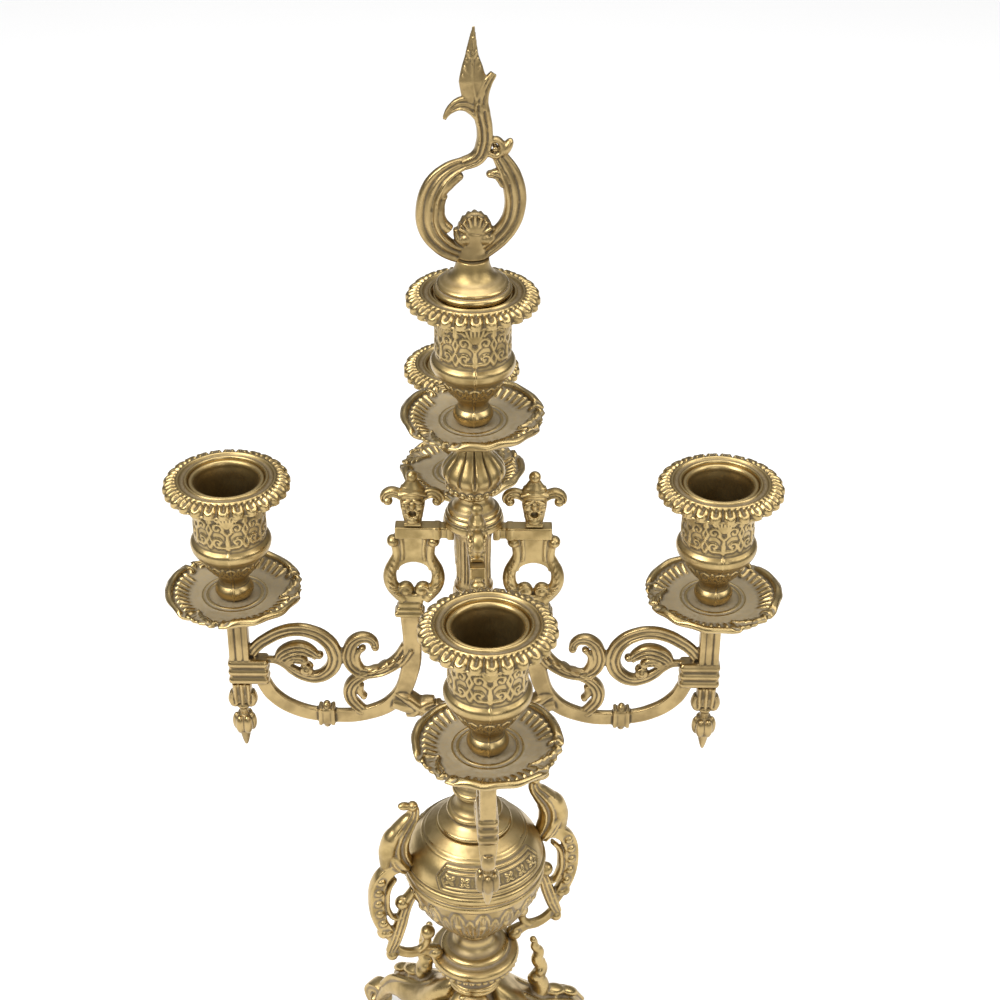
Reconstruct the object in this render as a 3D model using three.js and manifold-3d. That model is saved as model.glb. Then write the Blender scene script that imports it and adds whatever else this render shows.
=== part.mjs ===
// Tabletop candelabra in cast brass: four scrolled arms and a centre light on a vase stem,
// standing on three scroll legs. Millimetres, +Z up, origin on the floor under the stem.
// The turned pieces are threaded on one tie rod. Each arm is drawn once, along +X.
import * as THREE from "three";
import { mergeVertices } from "three/addons/utils/BufferGeometryUtils.js";
import Module from "manifold-3d";

const wasm = await Module();
wasm.setup();

// ---- Fits -----------------------------------------------------------------------------
const seam = 0.3; // air between two pieces that touch
const rodClearance = 0.4; // around the tie rod and the cup studs
const ringClearance = 0.5; // drip ring round the mouth of its cup
const plugClearance = 0.6; // lift-out plug in the centre cup

// ---- Stem, from the floor up -----------------------------------------------------------
const baseHeight = 70;
const baseDomeRadius = 37;
const baseCrown = 26; // from the nut's seat up to the top of the base
const legReach = 78; // out to the tip of the scroll foot
const legThickness = 12;
const legLeafTop = 16; // the leg's leaf stands this far above the base
const legCount = 3;
const vaseFootHeight = 33.7;
const flangeRadius = 21.7;
const bowlHeight = 42.7;
const bowlRadius = 33.5;
const vaseWall = 2.5;
const shoulderHeight = 24;
const handleReach = 14.6; // pearls of the handle, out from the bowl
const handleHead = 36; // leaf head, up from the bowl's rim
const handleThickness = 7;
const vaseNeckHeight = 18.5;
const vaseNeckRadius = 17.5;
const balusterHeight = 38.5;
const balusterRadius = 12;
const lowerHubHeight = 17.7;
const lowerHubRadius = 12;
const columnRadius = 9;
const columnTopRadius = 7.8;
const upperHubHeight = 14.8;
const upperHubRadius = 12.9;
const knopHeight = 33.7;
const knopRadius = 13.4;
const vaseTurn = THREE.MathUtils.degToRad(15.5); // vase and base stand turned to the arms

// ---- Arms ------------------------------------------------------------------------------
const armCount = 4;
const armReach = 105.5; // stem axis to candle axis
const sideArmTurn = THREE.MathUtils.degToRad(-4.2); // side arms stand a little off square
const bracketAxis = 26.2; // stem axis to the middle of the lyre
const barHeight = 6;
const barDepth = 6.6;
const barLength = 25.6;
const barInset = 0.8; // bar below the top of the column
const barCollar = 3; // each of the three collars next to the column
const lyreHeight = 36.3;
const lyreDepth = 5;
const collarHeight = 5;
const collarWidth = 13.5;
const scrollOffset = 2.5; // scroll's inner stem, out from the bracket
const scrollHeight = 56.5;
const scrollDepth = 6;
const armStemWidth = 8.4;
const armStemRise = 32.4; // from the cuff up to the drip pan
const cuffWidth = 18.5;
const cuffHeight = 13.5;
const cuffDepth = 9;
const cuffInset = 3.75; // middle of the cuff, in from the candle axis
const knotHeight = 12;
const dropLength = 36.2;
const maskHeight = 26.6;
const maskSpan = 26.7;

// ---- Lights ----------------------------------------------------------------------------
const panRadius = 30.2;
const panThickness = 2.2;
const panRise = 5;
const panLobes = 8;
const cupHeight = 58.9;
const cupBeltRadius = 17.5;
const cupBoreRadius = 12;
const cupFlare = 2.5; // mouth of the cup over its bore
const cupLip = 1.7; // wall at the mouth
const ringSeatDrop = 4; // ring's seat below the mouth
const candleSeatHeight = 26; // flat seat above the foot of the cup
const ringRadius = 27.5;
const ringHeight = 5;

// ---- Fasteners -------------------------------------------------------------------------
const rodRadius = 3;
const studRadius = 2;
const studEngagement = 9; // screwed into the cup and into the arm
const nutHeight = 5.5;
const nutAcross = 12;
const washerHeight = 1.5;
const washerRadius = 9;
const rodTail = 4; // left below the nut

// ---- Lift-out finial -------------------------------------------------------------------
const finialFootOverlap = 1.4; // foot of the finial over the mouth of the cup
const finialFootHeight = 15;
const finialHeight = 95;
const finialDepth = 6;
const plugLength = 18;

// ---- Levels that follow from the sizes above --------------------------------------------
const rodBore = rodRadius + rodClearance;
const studBore = studRadius + rodClearance;
const vaseFootZ = baseHeight + seam;
const bowlZ = vaseFootZ + vaseFootHeight + seam;
const shoulderZ = bowlZ + bowlHeight + seam;
const vaseNeckZ = shoulderZ + shoulderHeight + seam;
const balusterZ = vaseNeckZ + vaseNeckHeight + seam;
const lowerHubZ = balusterZ + balusterHeight + seam;
const columnZ = lowerHubZ + lowerHubHeight + seam;
const branchLevel = 0.07; // share of the scroll's height where the branch meets the hub
const scrollFootZ = lowerHubZ + lowerHubHeight / 2 - branchLevel * scrollHeight;
const collarZ = scrollFootZ + scrollHeight + seam;
const lyreZ = collarZ + collarHeight;
const barZ = lyreZ + lyreHeight;
const columnHeight = barZ + barHeight + barInset - columnZ;
const upperHubZ = columnZ + columnHeight + seam;
const knopZ = upperHubZ + upperHubHeight + seam;
const centrePanZ = knopZ + knopHeight + seam;
const centreCupZ = centrePanZ + panThickness + seam;
const cuffMiddleZ = scrollFootZ + 0.452 * scrollHeight;
const armPanZ = cuffMiddleZ + cuffHeight / 2 + armStemRise + seam;
const armCupZ = armPanZ + panThickness + seam;
const finialFootZ = centreCupZ + cupHeight + seam;
const finialZ = finialFootZ + finialFootHeight + seam;
const nutSeatZ = baseHeight - baseCrown;
const cupMouthRadius = cupBoreRadius + cupFlare;
const cupCollarRadius = cupMouthRadius + cupLip;
const finialFootRadius = cupMouthRadius + finialFootOverlap;
const waistX = bracketAxis + scrollOffset;
const stemLean = 1.46; // the inner stem stands back from its two ends

const stemSides = 12;
const cupSides = 14;
const ringSides = 16;
const rodSides = 12;
const barSides = 6;

// ---- Brass and steel ---------------------------------------------------------------------
const finishes = {
  agedBrass: { color: 0xa98b46, roughness: 0.34, metalness: 1 },
  panBrass: { color: 0x9a8d62, roughness: 0.5, metalness: 1 },
  steel: { color: 0x8b8d8f, roughness: 0.4, metalness: 1 },
};

function named(name, geometry, finish = "agedBrass") {
  const mesh = new THREE.Mesh(geometry, new THREE.MeshStandardMaterial(finishes[finish]));
  mesh.name = name;
  return mesh;
}

// ---- Solids ------------------------------------------------------------------------------
function signedVolume(position, index) {
  const corners = [new THREE.Vector3(), new THREE.Vector3(), new THREE.Vector3()];
  let volume = 0;
  for (let i = 0; i < index.length; i += 3) {
    corners.forEach((corner, k) => corner.fromBufferAttribute(position, index[i + k]));
    volume += corners[0].dot(corners[1].cross(corners[2])) / 6;
  }
  return volume;
}

// Closed solid from a geometry: shared corners merged, slivers at the poles left out,
// faces turned outwards.
function solidOf(geometry) {
  const bare = geometry.clone();
  bare.deleteAttribute("normal");
  bare.deleteAttribute("uv");
  const merged = mergeVertices(bare, 1e-3);
  const index = [];
  for (let i = 0; i < merged.index.count; i += 3) {
    const [a, b, c] = [0, 1, 2].map((k) => merged.index.getX(i + k));
    if (a !== b && b !== c && c !== a) {
      index.push(a, b, c);
    }
  }
  if (signedVolume(merged.attributes.position, index) < 0) {
    index.reverse();
  }
  const vertProperties = Float32Array.from(merged.attributes.position.array);
  const triVerts = Uint32Array.from(index);
  return new wasm.Manifold(new wasm.Mesh({ numProp: 3, vertProperties, triVerts }));
}

function geometryOf(solid) {
  const mesh = solid.getMesh();
  const geometry = new THREE.BufferGeometry();
  geometry.setAttribute("position", new THREE.BufferAttribute(mesh.vertProperties, 3));
  geometry.setIndex(new THREE.BufferAttribute(mesh.triVerts, 1));
  return geometry;
}

function joined(geometries) {
  return geometries.map(solidOf).reduce((whole, part) => whole.add(part));
}

// Lathe piece from [radius, height] pairs, turned about Z.
function turned(profile, z = 0, sides = stemSides) {
  const points = profile.map(([radius, height]) => new THREE.Vector2(radius, height));
  const geometry = new THREE.LatheGeometry(points, sides);
  geometry.rotateX(Math.PI / 2);
  geometry.translate(0, 0, z);
  return geometryOf(solidOf(geometry));
}

// Turned piece with a through bore. The profile gives shares of its radius and height.
function bored(radius, height, bore, shares, z) {
  const outer = shares.map(([across, up]) => [across * radius, up * height]);
  const profile = [[bore, 0], ...outer, [bore, height], [bore, 0]];
  return turned(profile, z);
}

// Room that a neighbour needs: its outer profile on the axis, grown by the seam all round.
function roomFor(profile, z) {
  const wider = profile.map(([radius, height]) => [radius + seam, height]);
  const outline = [[0, profile[0][1]], ...wider, [0, profile.at(-1)[1]]];
  return solidOf(turned(outline, z + seam)).add(solidOf(turned(outline, z - seam)));
}

// Tapered bar along a curve in the XZ plane. Each point is [x, z, half width].
function scrollBar(points, depth, steps = 3 * (points.length - 1), sides = barSides) {
  const knots = points.map(([x, z]) => new THREE.Vector3(x, 0, z));
  const curve = new THREE.CatmullRomCurve3(knots, false, "centripetal");
  const geometry = new THREE.CylinderGeometry(1, 1, 1, sides, steps);
  const position = geometry.attributes.position;
  for (let i = 0; i < position.count; i += 1) {
    const along = THREE.MathUtils.clamp(0.5 - position.getY(i), 0, 1);
    const centre = curve.getPoint(along);
    const tangent = curve.getTangent(along);
    const place = along * (points.length - 1);
    const before = Math.min(Math.floor(place), points.length - 2);
    const half = THREE.MathUtils.lerp(points[before][2], points[before + 1][2], place - before);
    const across = position.getX(i) * half;
    const out = position.getZ(i) * Math.min(depth / 2, half * 1.3);
    position.setXYZ(i, centre.x - tangent.z * across, out, centre.z + tangent.x * across);
  }
  return geometry;
}

function bead(radius, x, z, flatness = 1) {
  const geometry = new THREE.SphereGeometry(radius, 8, 5);
  geometry.scale(1, flatness, 1);
  geometry.translate(x, 0, z);
  return geometry;
}

function block(width, depth, height, x, z) {
  const geometry = new THREE.BoxGeometry(width, depth, height);
  geometry.translate(x, 0, z + height / 2);
  return geometry;
}

// Plate drawn in the XZ plane, of the given depth along Y.
function plate(outline, depth, steps = 5) {
  const geometry = new THREE.ExtrudeGeometry(outline, {
    depth,
    bevelEnabled: false,
    curveSegments: steps,
  });
  geometry.rotateX(Math.PI / 2);
  geometry.translate(0, depth / 2, 0);
  return geometry;
}

function rodPiece(radius, bottom, top, x = 0) {
  const geometry = new THREE.CylinderGeometry(radius, radius, top - bottom, rodSides);
  geometry.rotateX(Math.PI / 2);
  geometry.translate(x, 0, (top + bottom) / 2);
  return geometry;
}

// ---- Outer profiles that neighbours have to clear -----------------------------------------
const baseDomeOuter = [
  [0.97, 0.25],
  [1, 0.3],
  [0.9, 0.45],
  [0.62, 0.62],
  [0.36, 0.74],
  [0.34, 0.79],
  [0.25, 0.83],
  [0.24, 0.9],
  [0.34, 0.96],
  [0.35, 1],
].map(([across, up]) => [across * baseDomeRadius, up * baseHeight]);

const vaseFootOuter = [
  [0.6, 0],
  [0.56, 0.12],
  [0.66, 0.2],
  [0.68, 0.34],
  [0.92, 0.4],
  [1, 0.52],
  [0.97, 0.57],
  [0.74, 0.64],
  [0.5, 0.72],
  [0.42, 0.85],
  [0.46, 1],
].map(([across, up]) => [across * flangeRadius, up * vaseFootHeight]);

const bowlOuter = [
  [0.3, 0],
  [0.38, 0.1],
  [0.64, 0.3],
  [0.85, 0.55],
  [0.97, 0.82],
  [1, 1],
].map(([across, up]) => [across * bowlRadius, up * bowlHeight]);

const shoulderOuter = [
  [1, 0],
  [1.02, 0.12],
  [0.99, 0.26],
  [0.93, 0.46],
  [0.8, 0.72],
  [0.62, 0.9],
  [0.54, 1],
].map(([across, up]) => [across * bowlRadius, up * shoulderHeight]);

const lowerHubOuter = [
  [0.8, 0],
  [1, 0.12],
  [1, 0.88],
  [0.8, 1],
].map(([across, up]) => [across * lowerHubRadius, up * lowerHubHeight]);

// ---- Base ---------------------------------------------------------------------------------
function baseBody() {
  const inside = [
    [rodBore, nutSeatZ],
    [washerRadius + 3 * seam, nutSeatZ],
    [0.6 * baseDomeRadius, 0.5 * baseHeight],
    [0.86 * baseDomeRadius, 0.25 * baseHeight],
  ];
  return turned([...inside, ...baseDomeOuter, [rodBore, baseHeight], inside[0]]);
}

// Scroll leg with an upright leaf on its shoulder.
function baseLeg() {
  const at = (out, up) => [out * legReach, up * baseHeight];
  const outline = new THREE.Shape();
  outline.moveTo(...at(0.115, 0.857));
  outline.quadraticCurveTo(...at(0.256, 0.857), ...at(0.346, 0.757));
  outline.bezierCurveTo(...at(0.487, 0.629), ...at(0.641, 0.657), ...at(0.744, 0.471));
  outline.quadraticCurveTo(...at(0.885, 0.386), ...at(0.872, 0.257));
  outline.quadraticCurveTo(...at(1, 0.286), ...at(1, 0.129));
  outline.quadraticCurveTo(...at(1, 0), ...at(0.923, 0));
  outline.lineTo(...at(0.795, 0));
  outline.quadraticCurveTo(...at(0.769, 0.2), ...at(0.667, 0.314));
  outline.bezierCurveTo(...at(0.59, 0.4), ...at(0.513, 0.371), ...at(0.385, 0.314));
  outline.lineTo(...at(0.115, 0.571));
  const body = plate(outline, legThickness, 4);
  const leafRise = baseHeight + legLeafTop;
  const leaf = scrollBar(
    [
      [0.436 * legReach, 0.465 * leafRise, 7],
      [0.462 * legReach, 0.616 * leafRise, 6],
      [0.436 * legReach, 0.767 * leafRise, 5.5],
      [0.41 * legReach, 0.895 * leafRise, 4],
      [0.392 * legReach, leafRise, 2],
    ],
    legThickness - 2,
    5,
  );
  const solid = joined([body, leaf]).subtract(roomFor(baseDomeOuter, 0));
  return geometryOf(solid);
}

function baseWithLegs(group) {
  group.add(named("base_body", baseBody()));
  for (let i = 0; i < legCount; i += 1) {
    const holder = new THREE.Group();
    holder.rotation.z = (i * 2 * Math.PI) / legCount;
    holder.add(named(`base_leg_${i + 1}`, baseLeg()));
    group.add(holder);
  }
}

// ---- Vase ---------------------------------------------------------------------------------
function bowl() {
  const wall = [...bowlOuter].reverse().map(([radius, height]) => [
    Math.max(radius - vaseWall, rodBore + vaseWall),
    height === bowlHeight ? height : height + 1.6 * vaseWall,
  ]);
  const floor = [rodBore, 1.6 * vaseWall];
  return turned([[rodBore, 0], ...bowlOuter, ...wall, floor, [rodBore, 0]], bowlZ);
}

function shoulder() {
  const wall = [...shoulderOuter].reverse().map(([radius, height]) => [
    radius - vaseWall,
    height === 0 ? height : height - vaseWall,
  ]);
  const roof = [rodBore, shoulderHeight - vaseWall];
  const profile = [...shoulderOuter, [rodBore, shoulderHeight], roof, ...wall];
  return turned([...profile, shoulderOuter[0]], shoulderZ);
}

// Handle beside the vase: a leaf head over a C of pearls, a strut and a tail with a ball.
function vaseHandle() {
  const waistZ = bowlZ + 0.55 * bowlHeight;
  const rimZ = shoulderZ;
  const side = bowlRadius;
  const pearlX = side + handleReach;
  const beadX = side + 0.58 * handleReach;
  const head = scrollBar(
    [
      [side - 2, rimZ + 0.08 * handleHead, 4.5],
      [side + 0.41 * handleReach, rimZ + 0.25 * handleHead, 4.5],
      [side + 0.65 * handleReach, rimZ + 0.61 * handleHead, 5],
      [side + 0.31 * handleReach, rimZ + 0.92 * handleHead, 4.5],
      [side - 0.31 * handleReach, rimZ + handleHead, 2.5],
    ],
    handleThickness + 1,
    6,
  );
  const cee = scrollBar(
    [
      [side + 0.27 * handleReach, rimZ + 0.17 * handleHead, 3],
      [side + 0.82 * handleReach, rimZ + 0.08 * handleHead, 3.2],
      [pearlX, waistZ + 0.19 * bowlHeight, 3.4],
      [pearlX + 0.6, waistZ - 0.28 * bowlHeight, 3.2],
      [beadX, bowlZ - 0.21 * bowlHeight, 3],
    ],
    handleThickness,
    8,
  );
  const strut = scrollBar(
    [
      [side + 0.89 * handleReach, bowlZ + 0.05 * bowlHeight, 3],
      [side + 0.41 * handleReach, waistZ - 0.19 * bowlHeight, 3],
      [side - 2, waistZ + 0.28 * bowlHeight, 3.2],
    ],
    handleThickness - 1,
    3,
  );
  const tail = scrollBar(
    [
      [side + 0.65 * handleReach, bowlZ, 2.8],
      [side + 2, bowlZ - 0.19 * bowlHeight, 2.6],
      [side - 6, bowlZ - 0.23 * bowlHeight, 2.6],
      [flangeRadius - 2, vaseFootZ + 0.62 * vaseFootHeight, 3],
    ],
    handleThickness - 1,
    5,
  );
  const ball = bead(4, flangeRadius, bowlZ + 2);
  const ballNeck = scrollBar(
    [
      [flangeRadius, bowlZ, 2.4],
      [side - 6, bowlZ - 0.21 * bowlHeight, 2.6],
    ],
    handleThickness - 2,
    2,
  );
  const lowBead = bead(3.2, beadX, bowlZ - 0.25 * bowlHeight);
  const solid = joined([head, cee, strut, tail, ball, ballNeck, lowBead]);
  const cleared = solid
    .subtract(roomFor(bowlOuter, bowlZ))
    .subtract(roomFor(shoulderOuter, shoulderZ))
    .subtract(roomFor(vaseFootOuter, vaseFootZ));
  return geometryOf(cleared);
}

function vaseNeck() {
  const shares = [
    [1, 0],
    [1, 0.1],
    [0.68, 0.2],
    [0.66, 0.3],
    [0.74, 0.38],
    [0.5, 0.52],
    [0.47, 0.8],
    [0.56, 1],
  ];
  return bored(vaseNeckRadius, vaseNeckHeight, rodBore, shares, vaseNeckZ);
}

function vase(group) {
  const foot = [[rodBore, 0], ...vaseFootOuter, [rodBore, vaseFootHeight], [rodBore, 0]];
  group.add(named("vase_foot", turned(foot, vaseFootZ)));
  group.add(named("vase_bowl", bowl()));
  group.add(named("vase_shoulder", shoulder()));
  group.add(named("vase_neck", vaseNeck()));
  ["right", "left"].forEach((side, i) => {
    const holder = new THREE.Group();
    holder.rotation.z = i * Math.PI;
    holder.add(named(`vase_handle_${side}`, vaseHandle()));
    group.add(holder);
  });
}

// ---- Column between the vase and the centre light --------------------------------------------
function columnStack(group) {
  const baluster = [
    [0.78, 0],
    [0.92, 0.06],
    [0.6, 0.16],
    [1, 0.46],
    [0.94, 0.6],
    [0.62, 0.84],
    [0.8, 1],
  ];
  const column = [
    [1, 0],
    [1, 0.05],
    [0.86, 0.1],
    [0.95, 0.5],
    [1.06, 0.6],
    [0.82, 0.72],
    [columnTopRadius / columnRadius, 0.86],
    [columnTopRadius / columnRadius, 1],
  ];
  const upperHub = [
    [0.9, 0],
    [1, 0.08],
    [1, 0.2],
    [0.86, 0.38],
    [0.62, 0.75],
    [0.55, 1],
  ];
  const knop = [
    [0.56, 0],
    [0.84, 0.12],
    [0.86, 0.18],
    [1, 0.32],
    [0.6, 0.54],
    [0.5, 0.8],
    [0.66, 1],
  ];
  const hub = [[rodBore, 0], ...lowerHubOuter, [rodBore, lowerHubHeight], [rodBore, 0]];
  group.add(
    named("baluster", bored(balusterRadius, balusterHeight, rodBore, baluster, balusterZ)),
    named("lower_hub", turned(hub, lowerHubZ)),
    named("column", bored(columnRadius, columnHeight, rodBore, column, columnZ)),
    named("upper_hub", bored(upperHubRadius, upperHubHeight, rodBore, upperHub, upperHubZ)),
    named("knop", bored(knopRadius, knopHeight, rodBore, knop, knopZ)),
  );
}

// ---- Lights: drip pan, cup and ring -----------------------------------------------------------
// Dished pan with a rim that waves in and out, and up and down.
function dripPan(bore, z) {
  const profile = [
    [bore, 0],
    [0.62 * panRadius, 0],
    [0.92 * panRadius, 0.35 * panRise],
    [panRadius, 0.9 * panRise],
    [0.93 * panRadius, panRise],
    [0.78 * panRadius, panThickness],
    [bore, panThickness],
    [bore, 0],
  ];
  const geometry = turned(profile, z, panLobes * 2);
  const position = geometry.attributes.position;
  for (let i = 0; i < position.count; i += 1) {
    const x = position.getX(i);
    const y = position.getY(i);
    const share = THREE.MathUtils.smoothstep(Math.hypot(x, y), 0.7 * panRadius, panRadius);
    const wave = Math.cos(panLobes * Math.atan2(y, x));
    const reach = 1 - 0.03 * share * (1 - wave);
    position.setXYZ(i, x * reach, y * reach, position.getZ(i) - 0.12 * panRise * share * wave);
  }
  return geometry;
}

function candleCup(bore, z) {
  const ringSeat = cupHeight - ringSeatDrop;
  const profile = [
    [0, studEngagement + 1],
    [bore, studEngagement + 1],
    [bore, 0],
    [0.47 * cupBeltRadius, 0],
    [0.37 * cupBeltRadius, 7],
    [0.65 * cupBeltRadius, 17.5],
    [cupBeltRadius, candleSeatHeight + 1.7],
    [0.89 * cupBeltRadius, candleSeatHeight + 6],
    [0.9 * cupBeltRadius, ringSeat - 8],
    [cupCollarRadius + 1.2, ringSeat],
    [cupCollarRadius, ringSeat],
    [cupCollarRadius, cupHeight],
    [cupMouthRadius, cupHeight],
    [cupBoreRadius + 0.4, cupHeight - 9],
    [cupBoreRadius, candleSeatHeight],
    [0, candleSeatHeight],
  ];
  return turned(profile, z, cupSides);
}

function dripRing(z) {
  const inner = cupCollarRadius + ringClearance;
  const foot = z + cupHeight - ringSeatDrop + seam;
  const profile = [
    [inner, 0],
    [inner, ringHeight - 0.6],
    [0.75 * ringRadius, ringHeight],
    [0.83 * ringRadius, 0.7 * ringHeight],
    [ringRadius, 0.22 * ringHeight],
    [0.97 * ringRadius, -0.12 * ringHeight],
    [inner + 3.5, 0],
    [inner, 0],
  ];
  return turned(profile, foot, ringSides);
}

// ---- Arm ----------------------------------------------------------------------------------------
// Points inside the scroll are given as shares: across from the inner stem to the cuff,
// and up from the lowest point of the big C.
const cuffMiddle = armReach - cuffInset;
function inScroll(across, up, half) {
  const span = cuffMiddle - waistX;
  return [waistX + across * span, scrollFootZ + up * scrollHeight, half];
}

// Ends held by the cuff are set back from its middle in millimetres, whatever the reach of the arm.
function besideCuff(back, up, half) {
  return [cuffMiddle - back, scrollFootZ + up * scrollHeight, half];
}

function arcPoints(middle, radius, startDegrees, endDegrees, count, half) {
  return Array.from({ length: count }, (_, i) => {
    const turn = startDegrees + ((endDegrees - startDegrees) * i) / (count - 1);
    const angle = THREE.MathUtils.degToRad(turn);
    return [middle[0] + radius * Math.cos(angle), middle[1] + radius * Math.sin(angle), half];
  });
}

function armScroll() {
  const bigC = scrollBar(
    [
      inScroll(0.93, 0.36, 3),
      inScroll(0.86, 0.2, 3),
      inScroll(0.72, 0.06, 2.9),
      inScroll(0.53, 0, 2.9),
      inScroll(0.26, 0.03, 3),
      inScroll(0.09, 0.17, 3.2),
      inScroll(0, 0.46, 3.4),
      [waistX - stemLean, scrollFootZ + 0.72 * scrollHeight, 3.3],
      inScroll(0, 1, 3.3),
    ],
    scrollDepth,
    14,
  );
  const voluteMiddle = inScroll(0.64, 0.61, 0);
  const volute = scrollBar(
    [
      besideCuff(4.4, 0.66, 2.4),
      inScroll(0.86, 0.76, 2.6),
      ...arcPoints(voluteMiddle, 0.244 * scrollHeight, 72, 285, 6, 2.8),
      inScroll(0.74, 0.46, 2.6),
      inScroll(0.83, 0.545, 2),
      besideCuff(7.3, 0.55, 1.8),
    ],
    scrollDepth,
    15,
  );
  const curl = scrollBar(
    [
      inScroll(0.82, 0.53, 1.8),
      inScroll(0.77, 0.63, 2.6),
      inScroll(0.68, 0.69, 2.6),
      inScroll(0.585, 0.63, 1.8),
    ],
    scrollDepth,
    4,
  );
  const leaf = scrollBar(
    [
      inScroll(0.21, 0.68, 1.3),
      inScroll(0.23, 0.76, 1.7),
      inScroll(0.3, 0.79, 2),
      inScroll(0.39, 0.65, 2.4),
      inScroll(0.36, 0.47, 2.4),
      inScroll(0.21, 0.42, 2.2),
      inScroll(0.02, 0.62, 3),
    ],
    scrollDepth - 1,
    9,
  );
  const lowLeaf = scrollBar(
    [
      inScroll(0.3, 0.41, 1.6),
      inScroll(0.385, 0.29, 2.4),
      inScroll(0.34, 0.06, 2.2),
    ],
    scrollDepth - 1,
    3,
  );
  const branch = scrollBar(
    [
      inScroll(0.08, 0.2, 4.2),
      inScroll(-0.06, 0.1, 4.4),
      [lowerHubRadius - 2, scrollFootZ + branchLevel * scrollHeight, 4],
    ],
    scrollDepth + 1,
    2,
  );
  const knotX = inScroll(0.53, 0, 0)[0];
  const knot = block(barHeight, scrollDepth + 1, knotHeight, knotX, scrollFootZ - knotHeight / 2);
  const cuff = block(cuffWidth, cuffDepth, cuffHeight, cuffMiddle, cuffMiddleZ - cuffHeight / 2);
  const stemTop = armPanZ - seam;
  const stem = block(armStemWidth, armStemWidth - 1, stemTop - cuffMiddleZ, armReach, cuffMiddleZ);
  const studHole = rodPiece(studBore, stemTop - studEngagement - 1, stemTop + 1, armReach);
  const cuffFoot = cuffMiddleZ - cuffHeight / 2;
  const dropHole = rodPiece(studBore, cuffFoot - 1, cuffFoot + studEngagement, armReach);
  const solid = joined([bigC, volute, curl, leaf, lowLeaf, branch, knot, cuff, stem])
    .subtract(roomFor(lowerHubOuter, lowerHubZ))
    .subtract(solidOf(studHole))
    .subtract(solidOf(dropHole));
  return geometryOf(solid);
}

// Bar, lyre with an oval opening, and the collar that stands on the scroll.
function bracket() {
  const inner = columnTopRadius + seam;
  const collars = [0, 1, 2].map((i) => {
    const size = barHeight - 0.8 * (i % 2);
    const deep = barDepth - 0.8 * (i % 2);
    return block(barCollar, deep, size, inner + (i + 0.5) * barCollar, barZ + (barHeight - size) / 2);
  });
  const barStart = 2.8 * barCollar;
  const plain = barLength - barStart;
  const bar = block(plain, barDepth, barHeight, inner + barStart + plain / 2, barZ);
  const half = lyreHeight * 0.355;
  const outline = new THREE.Shape();
  const level = (share) => -share * lyreHeight;
  outline.moveTo(-0.68 * half, 0);
  outline.lineTo(0.68 * half, 0);
  outline.quadraticCurveTo(0.5 * half, level(0.24), 0.74 * half, level(0.36));
  outline.bezierCurveTo(1.1 * half, level(0.5), 1.1 * half, level(0.7), 0.45 * half, level(1.02));
  outline.lineTo(-0.45 * half, level(1.02));
  outline.bezierCurveTo(-1.1 * half, level(0.7), -1.1 * half, level(0.5), -0.74 * half, level(0.36));
  outline.quadraticCurveTo(-0.5 * half, level(0.24), -0.68 * half, 0);
  const oval = new THREE.Path();
  oval.absellipse(0, level(0.54), 0.53 * half, 0.16 * lyreHeight, 0, 2 * Math.PI);
  outline.holes.push(oval);
  const lyre = plate(outline, lyreDepth, 3);
  lyre.translate(bracketAxis, 0, barZ + 0.5);
  const collar = block(collarWidth, barDepth + 1, collarHeight, waistX, collarZ);
  return geometryOf(joined([...collars, bar, lyre, collar]));
}

// Small mask with a pointed cap and a volute on each side.
function maskFinial() {
  const foot = barZ + barHeight + seam;
  const face = scrollBar(
    [
      [bracketAxis, foot, 3.6],
      [bracketAxis, foot + 0.3 * maskHeight, 3.8],
      [bracketAxis, foot + 0.6 * maskHeight, 4.8],
      [bracketAxis, foot + 0.76 * maskHeight, 3.6],
      [bracketAxis, foot + maskHeight, 1.4],
    ],
    7,
    4,
  );
  const volutes = scrollBar(
    [
      [bracketAxis - maskSpan / 2 + 1.2, foot + 0.5 * maskHeight, 1.8],
      [bracketAxis - maskSpan / 3, foot + 0.62 * maskHeight, 1.9],
      [bracketAxis, foot + 0.54 * maskHeight, 1.9],
      [bracketAxis + maskSpan / 3, foot + 0.62 * maskHeight, 1.9],
      [bracketAxis + maskSpan / 2 - 1.2, foot + 0.5 * maskHeight, 1.8],
    ],
    4,
    6,
  );
  return geometryOf(joined([face, volutes]));
}

// Drop under the cuff, with the tenon that screws up into it.
function armDrop() {
  const top = cuffMiddleZ - cuffHeight / 2 - seam;
  const profile = [
    [0, studEngagement - 1],
    [studRadius, studEngagement - 1],
    [studRadius, 0],
    [3.4, 0],
    [5.5, -0.2 * dropLength],
    [2.4, -0.33 * dropLength],
    [5.4, -0.47 * dropLength],
    [5, -0.58 * dropLength],
    [3, -0.74 * dropLength],
    [0, -dropLength],
  ];
  const geometry = turned(profile, top, 10);
  geometry.translate(armReach, 0, 0);
  return geometry;
}

// Piece of the light, standing on the arm's end and square to the candelabra.
function onArm(mesh, offSquare) {
  mesh.position.x = armReach;
  mesh.rotation.z = -offSquare;
  return mesh;
}

function arm(side, offSquare) {
  const group = new THREE.Group();
  const studTop = armCupZ + studEngagement;
  group.add(
    named(`${side}_arm_bracket`, bracket()),
    named(`${side}_arm_mask`, maskFinial()),
    named(`${side}_arm_scroll`, armScroll()),
    named(`${side}_arm_drop`, armDrop()),
    onArm(named(`${side}_arm_pan`, dripPan(studBore, armPanZ), "panBrass"), offSquare),
    onArm(named(`${side}_arm_cup`, candleCup(studBore, armCupZ)), offSquare),
    onArm(named(`${side}_arm_ring`, dripRing(armCupZ)), offSquare),
    named(
      `${side}_arm_stud`,
      rodPiece(studRadius, armPanZ - seam - studEngagement, studTop, armReach),
      "steel",
    ),
  );
  return group;
}

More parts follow.
